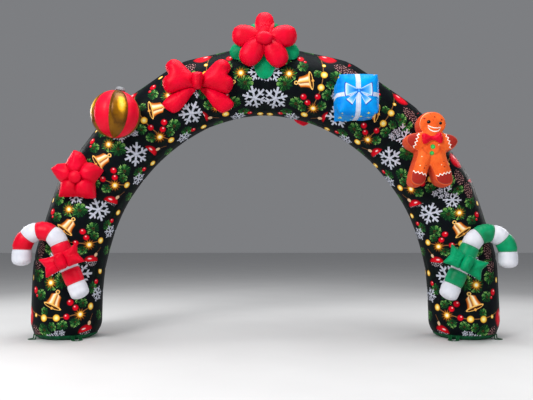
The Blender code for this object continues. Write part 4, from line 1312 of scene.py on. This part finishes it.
gift_points = put(blow_up(gift_points, gift_faces, gift_hold, slack=0.03, most=0.014), GIFT_PLACE)
settle(gift_points, "gift_box", ["tube"])
gift = cloth_object("gift_box_satin", gift_points, gift_faces, "gift_box")
marks = gift.data.attributes.new("spot", "FLOAT_VECTOR", "POINT")
marks.data.foreach_set("vector", [number for spot in gift_spots for number in spot])

gift_shader, place = start_cloth("printed_blue_satin", gift)
gift_spot = Ink.node("Attribute", attribute_name="spot", output=1)
x, y, z = split(gift_spot)
colour = ramp(grain(place, 10.0, 2.0), (0.3, dye(0, 136, 226)), (0.7, dye(0, 166, 242)))
front_face = y < -0.999
# painted shade: each face is darker towards its edges, and the top, bottom and side faces are darker all
# over
painted_edge_shade = soft(abs(x).do("MAXIMUM", abs(z)), 0.80, 1.0) * 0.3
colour = over(colour, painted_edge_shade, dye(0, 104, 206))
stars = Ink.node("TexVoronoi", {"Vector": gift_spot, "Scale": 2.9, "Randomness": 0.7, "Exponent": 0.62},
                 distance="MINKOWSKI")
colour = over(colour, (stars < 0.46) * (1.0 - front_face), dye(232, 222, 36))
ribbon = (abs(x + 0.03) < 0.125).do("MAXIMUM", abs(z + 0.04) < 0.105)
fold_lines = ((x * 46.0).do("SINE") * 0.5 + 0.5) * 0.22
ribbon_tone = ramp(grain(place, 20.0), (0.3, dye(190, 204, 230)), (0.7, dye(220, 228, 244)))
colour = over(colour, ribbon, over(ribbon_tone, fold_lines, dye(150, 170, 220)))
# the printed bow: two loops widening from the knot, two cut tails, all with a dark blue edge
out = abs(x) - 0.06
loop_share = out / 0.69
loop_side = abs(z - 0.14 - out * 0.10) / (out * 0.48 + 0.085)
loop_edge = loop_side.do("MAXIMUM", loop_share + loop_side ** 4.0 * 0.10)
fall = 0.04 - z
tail_run = out * 0.66 + fall * 0.75
tail_edge = abs(out * 0.75 - fall * 0.66) / (tail_run * 0.26 + 0.045)
tail_edge = tail_edge.do("MAXIMUM", tail_run / 0.70)
BLUE_EDGE = dye(10, 66, 176)
for bow_edge, start in ((tail_edge, tail_run > 0.0), (loop_edge, out > 0.0)):
    bow_tone = ramp(bow_edge, (0.10, BLUE_EDGE), (0.34, dye(38, 140, 232)), (0.62, dye(84, 170, 240)),
                    (0.80, dye(160, 210, 248)), (0.88, dye(222, 238, 252)), (0.955, BLUE_EDGE))
    colour = over(colour, (bow_edge < 1.0) * start * front_face, bow_tone)
knot_reach = abs(x).do("MAXIMUM", abs(z - 0.13)) / 0.095
knot_tone = ramp(knot_reach, (0.2, dye(70, 168, 244)), (0.8, dye(16, 112, 214)), (0.95, BLUE_EDGE))
colour = over(colour, (knot_reach < 1.0) * front_face, knot_tone)
dress(gift_shader, colour, 0.46, creased(place), sheen=0.0, gloss=0.08)


# ---- gingerbread figure ----
# A flat filled figure of orange fleece with a side band, painted darker as shade, between its two
# faces. The icing, eyes, smile and buttons are printed, and the bow tie is a piece of its own.
FIGURE_PLACE = Vector((1.293, -0.385, 1.509))
FIGURE_OUTLINE = (
    (0.122, 0.137), (0.190, 0.121), (0.228, 0.076), (0.199, 0.031), (0.170, 0.012), (0.118, -0.010),
    (0.150, -0.112), (0.177, -0.198), (0.174, -0.266), (0.112, -0.285), (0.048, -0.250),
    (0.030, -0.176), (-0.006, -0.100), (-0.024, -0.187), (-0.043, -0.255), (-0.093, -0.285),
    (-0.153, -0.266), (-0.154, -0.208), (-0.126, -0.112), (-0.086, -0.004), (-0.124, 0.010),
    (-0.171, 0.042), (-0.191, 0.087), (-0.167, 0.128), (-0.074, 0.146), (-0.055, 0.149),
    (-0.078, 0.180), (-0.084, 0.222), (-0.068, 0.268), (-0.034, 0.299), (0.022, 0.311),
    (0.078, 0.299), (0.114, 0.268), (0.132, 0.222), (0.126, 0.180), (0.096, 0.147))
FIGURE_MIDDLE = (0.012, 0.066)
FIGURE_BAND = 0.74  # the side band's share of the figure's depth
FRONT_SEAM = 0.42  # where the band meets the front, from rear -1 to 1
ICING = dye(255, 244, 232)
BROWN = dye(160, 42, 24)
CREAM = dye(255, 214, 176)

figure_outline = round_outline(centred(FIGURE_OUTLINE, FIGURE_MIDDLE)[1], 340)
figure_shape = filled(figure_outline, 0.100, rows=48, span=0.050, gusset=FIGURE_BAND, seed=51,
                      gathers=0.0008)
figure = sew_on("gingerbread_body", figure_shape, FIGURE_PLACE, ["tube"],
                offset=FIGURE_MIDDLE)
face_corners = [(point.x + FIGURE_MIDDLE[0], point.z + FIGURE_MIDDLE[1]) for point in figure_shape[0]]
add_places(figure, "face", corner_places(face_corners, figure_shape[1]))

ginger_shader, place = start_cloth("orange_fleece", figure)
figure_place = Ink.node("UVMap", uv_map="face")
face_across, face_up, _ = split(figure_place)
way = sewing_place()[1]
front = way > FRONT_SEAM
colour = ramp(grain(place, 14.0, 3.0), (0.3, dye(226, 80, 24)), (0.7, dye(244, 110, 44)))
# painted shade: the side band is the front's fleece, painted darker
colour = over(colour, 1.0 - front, dye(212, 68, 20))


def face_spot(x, z, turn):
    """Where the cloth lies from a printed mark's middle, turned upright with the mark."""
    return turned(vector_math("SUBTRACT", figure_place, (x, z, 0.0)), turn)


# hands and feet dipped in dark glaze, with a zigzag of white icing along the edge
for x, z, turn in ((-0.107, 0.087, 161.4), (0.142, 0.068, 18.4), (-0.089, -0.178, 254.0),
                   (0.114, -0.182, 285.3)):
    end_run, end_across, _ = split(face_spot(x, z, turn))
    zigzag = ((end_across * 34.0).do("PINGPONG", 0.5) - 0.25) * 0.030
    near = (abs(end_across) < 0.072) * front * (end_run < 0.12)
    colour = over(colour, (end_run > 0.0) * near, dye(160, 38, 28))
    colour = over(colour, (abs(end_run + zigzag) < 0.0042) * near, ICING)
for x, z, size in ((-0.0135, 0.222, 0.0140), (0.0795, 0.212, 0.0128)):
    eye = oval(figure_place, size, size, x, z) < 1.0
    glint = oval(figure_place, 0.002, 0.002, x - 0.004, z + 0.005) < 1.0
    colour = over(colour, eye * front, over(dye(16, 10, 12), glint, dye(190, 190, 196)))
# the mouth: a crescent outlined in icing
smile_across, smile_up, _ = split(face_spot(0.0315, 0.188, -7.0))
smile_share = (smile_across * smile_across) / (0.050 * 0.050)
smile_low = (1.0 - smile_share).do("MAXIMUM", 0.0) ** 0.5 * -0.042
smile_high = (1.0 - smile_share).do("MAXIMUM", 0.0) * -0.014
smile = (abs(smile_up - smile_low) < 0.0040).do("MAXIMUM", abs(smile_up - smile_high) < 0.0032)
colour = over(colour, smile * (abs(smile_across) < 0.0515) * front, ICING)
for x, z, size in ((0.015, 0.026, 0.0190), (0.006, -0.025, 0.0178)):
    button = oval(figure_place, size, size, x, z)
    button_tone = ramp(button, (0.2, dye(70, 206, 100)), (0.9, dye(20, 158, 62)))
    colour = over(colour, (button < 1.0) * front, button_tone)
for x, z, size, tone in (
        (-0.045, 0.250, 0.0090, BROWN), (0.034, 0.261, 0.0070, BROWN), (0.090, 0.240, 0.0085, BROWN),
        (0.020, 0.236, 0.0040, BROWN), (0.002, 0.288, 0.0060, BROWN), (-0.053, -0.141, 0.0060, BROWN),
        (-0.038, -0.121, 0.0045, BROWN), (0.099, -0.089, 0.0050, BROWN), (0.103, -0.131, 0.0065, BROWN),
        (-0.070, -0.049, 0.0045, CREAM), (-0.086, -0.121, 0.0050, CREAM), (0.061, 0.040, 0.0045, CREAM),
        (0.080, -0.115, 0.0045, CREAM), (-0.140, 0.075, 0.0040, BROWN), (0.165, 0.085, 0.0040, BROWN)):
    dot = oval(figure_place, size, size * 0.85, x, z) < 1.0
    colour = over(colour, dot * front, tone)
# the belly is drawn in under the lower button, and its crease is darkened with painted shade
belly = oval(figure_place, 0.068, 0.062, 0.008, 0.024)
belly_crease_and_shade = soft(abs(belly - 1.0), 0.20, 0.0) * soft(face_up, 0.040, 0.010)
colour = over(colour, belly_crease_and_shade * 0.32 * front, dye(150, 44, 14))
to_seam = abs(way - FRONT_SEAM)
# painted highlight along the rounded front seam, brightest on the upper left
front_seam_highlight = soft(to_seam, 0.026, 0.010)
lit_seam = soft(face_up, 0.12, 0.16) * soft(face_across, 0.03, -0.04) * 0.65 + 0.12
colour = over(colour, front_seam_highlight * lit_seam, dye(255, 206, 160))
fleece_height = creased(place) + grain(place, 400.0) * 0.8
dress(ginger_shader, colour, 0.62, fleece_height - soft(to_seam, 0.06, 0.0) * 1.5 - belly_crease_and_shade * 3.0,
      sheen=0.08)

TIE_OUTLINE = ((0.082, 0.040), (0.052, 0.045), (0.014, 0.016), (-0.014, 0.016), (-0.052, 0.045),
               (-0.082, 0.040), (-0.082, -0.040), (-0.052, -0.045), (-0.014, -0.016),
               (0.014, -0.016), (0.052, -0.045), (0.082, -0.040))


def tie_crease(spot):
    """Two lobes pinched in the middle."""
    return 0.45 * math.exp(-(spot.x / 0.010) ** 2)


tie_shape = filled(round_outline(TIE_OUTLINE, 120), 0.026, span=0.035, crease=tie_crease, seed=55,
                   gathers=0.0010)
red_pieces.append(sew_on("gingerbread_bow_tie", tie_shape, FIGURE_PLACE + Vector((0.010, -0.100, 0.092)),
                         ["gingerbread_body"], 3.0))


# ---- red and green satin ----
# The plain satin of the bows, star, petals and leaves, darkened with painted shade along each rim seam.
for pieces, tones, label in ((red_pieces, RED_TONES, "red_satin"),
                             (green_pieces, GREEN_TONES, "green_satin")):
    satin_shader, place = start_cloth(label, *pieces)
    run, way = sewing_place()
    # painted shade: the rim seam is darkened, and is also cut in as a groove
    rim_seam_groove_and_shade = soft(abs(way), 0.05, 0.0)
    rim_shade_tone = tuple(0.3 * part for part in tones[0][:3]) + (1.0,)
    colour = over(satin(place, tones), rim_seam_groove_and_shade * 0.4, rim_shade_tone)
    gathers = (run * 420.0).do("SINE") * soft(abs(way), 0.35, 0.05)
    dress(satin_shader, colour, 0.44, creased(place) + gathers * 0.6 - rim_seam_groove_and_shade, sheen=0.0)


# ---- floor and studio light ----
# A plain pale floor under wide soft boxes: one high at the front left, a weaker one at the right,
# one overhead, and two weak ones behind that light the tube's edges.
FLOOR_SIZE = 30.0
WORLD_TINT = (0.93, 0.95, 1.0, 1.0)
WORLD_STRENGTH = 0.22

floor_mesh = bmesh.new()
bmesh.ops.create_grid(floor_mesh, x_segments=4, y_segments=4, size=FLOOR_SIZE)
floor_data = bpy.data.meshes.new("floor")
floor_mesh.to_mesh(floor_data)
floor_mesh.free()
floor = bpy.data.objects.new("floor", floor_data)
bpy.context.scene.collection.objects.link(floor)
floor_shader, place = start_cloth("pale_floor", floor)
floor_tone = ramp(grain(place, 1.5, 3.0), (0.3, dye(214, 214, 214)), (0.7, dye(218, 218, 218)))
Ink.tree.links.new(floor_tone.socket, floor_shader.inputs["Base Color"])
floor_shader.inputs["Roughness"].default_value = 0.6

world = bpy.data.worlds.new("studio")
world.use_nodes = True
sky = world.node_tree.nodes["Background"]
sky.inputs["Color"].default_value = WORLD_TINT
sky.inputs["Strength"].default_value = WORLD_STRENGTH
bpy.context.scene.world = world
for name, where, aim, size, watts in (
        ("key_light", (-3.6, -5.0, 4.4), (0.0, 0.0, 1.2), 2.2, 340.0),
        ("fill_light", (4.0, -5.0, 2.6), (0.0, 0.0, 1.0), 3.0, 90.0),
        ("top_light", (0.0, -0.5, 6.0), (0.0, 0.0, 1.0), 3.6, 260.0),
        ("left_rim_light", (-4.4, 2.4, 2.6), (-1.4, 0.0, 1.4), 1.4, 45.0),
        ("right_rim_light", (4.4, 2.4, 2.6), (1.4, 0.0, 1.4), 1.4, 45.0)):
    light_data = bpy.data.lights.new(name, "AREA")
    light_data.shape = "SQUARE"
    light_data.size = size
    light_data.energy = watts
    light = bpy.data.objects.new(name, light_data)
    light.location = where
    light.rotation_euler = (Vector(aim) - Vector(where)).to_track_quat("-Z", "Y").to_euler()
    bpy.context.scene.collection.objects.link(light)
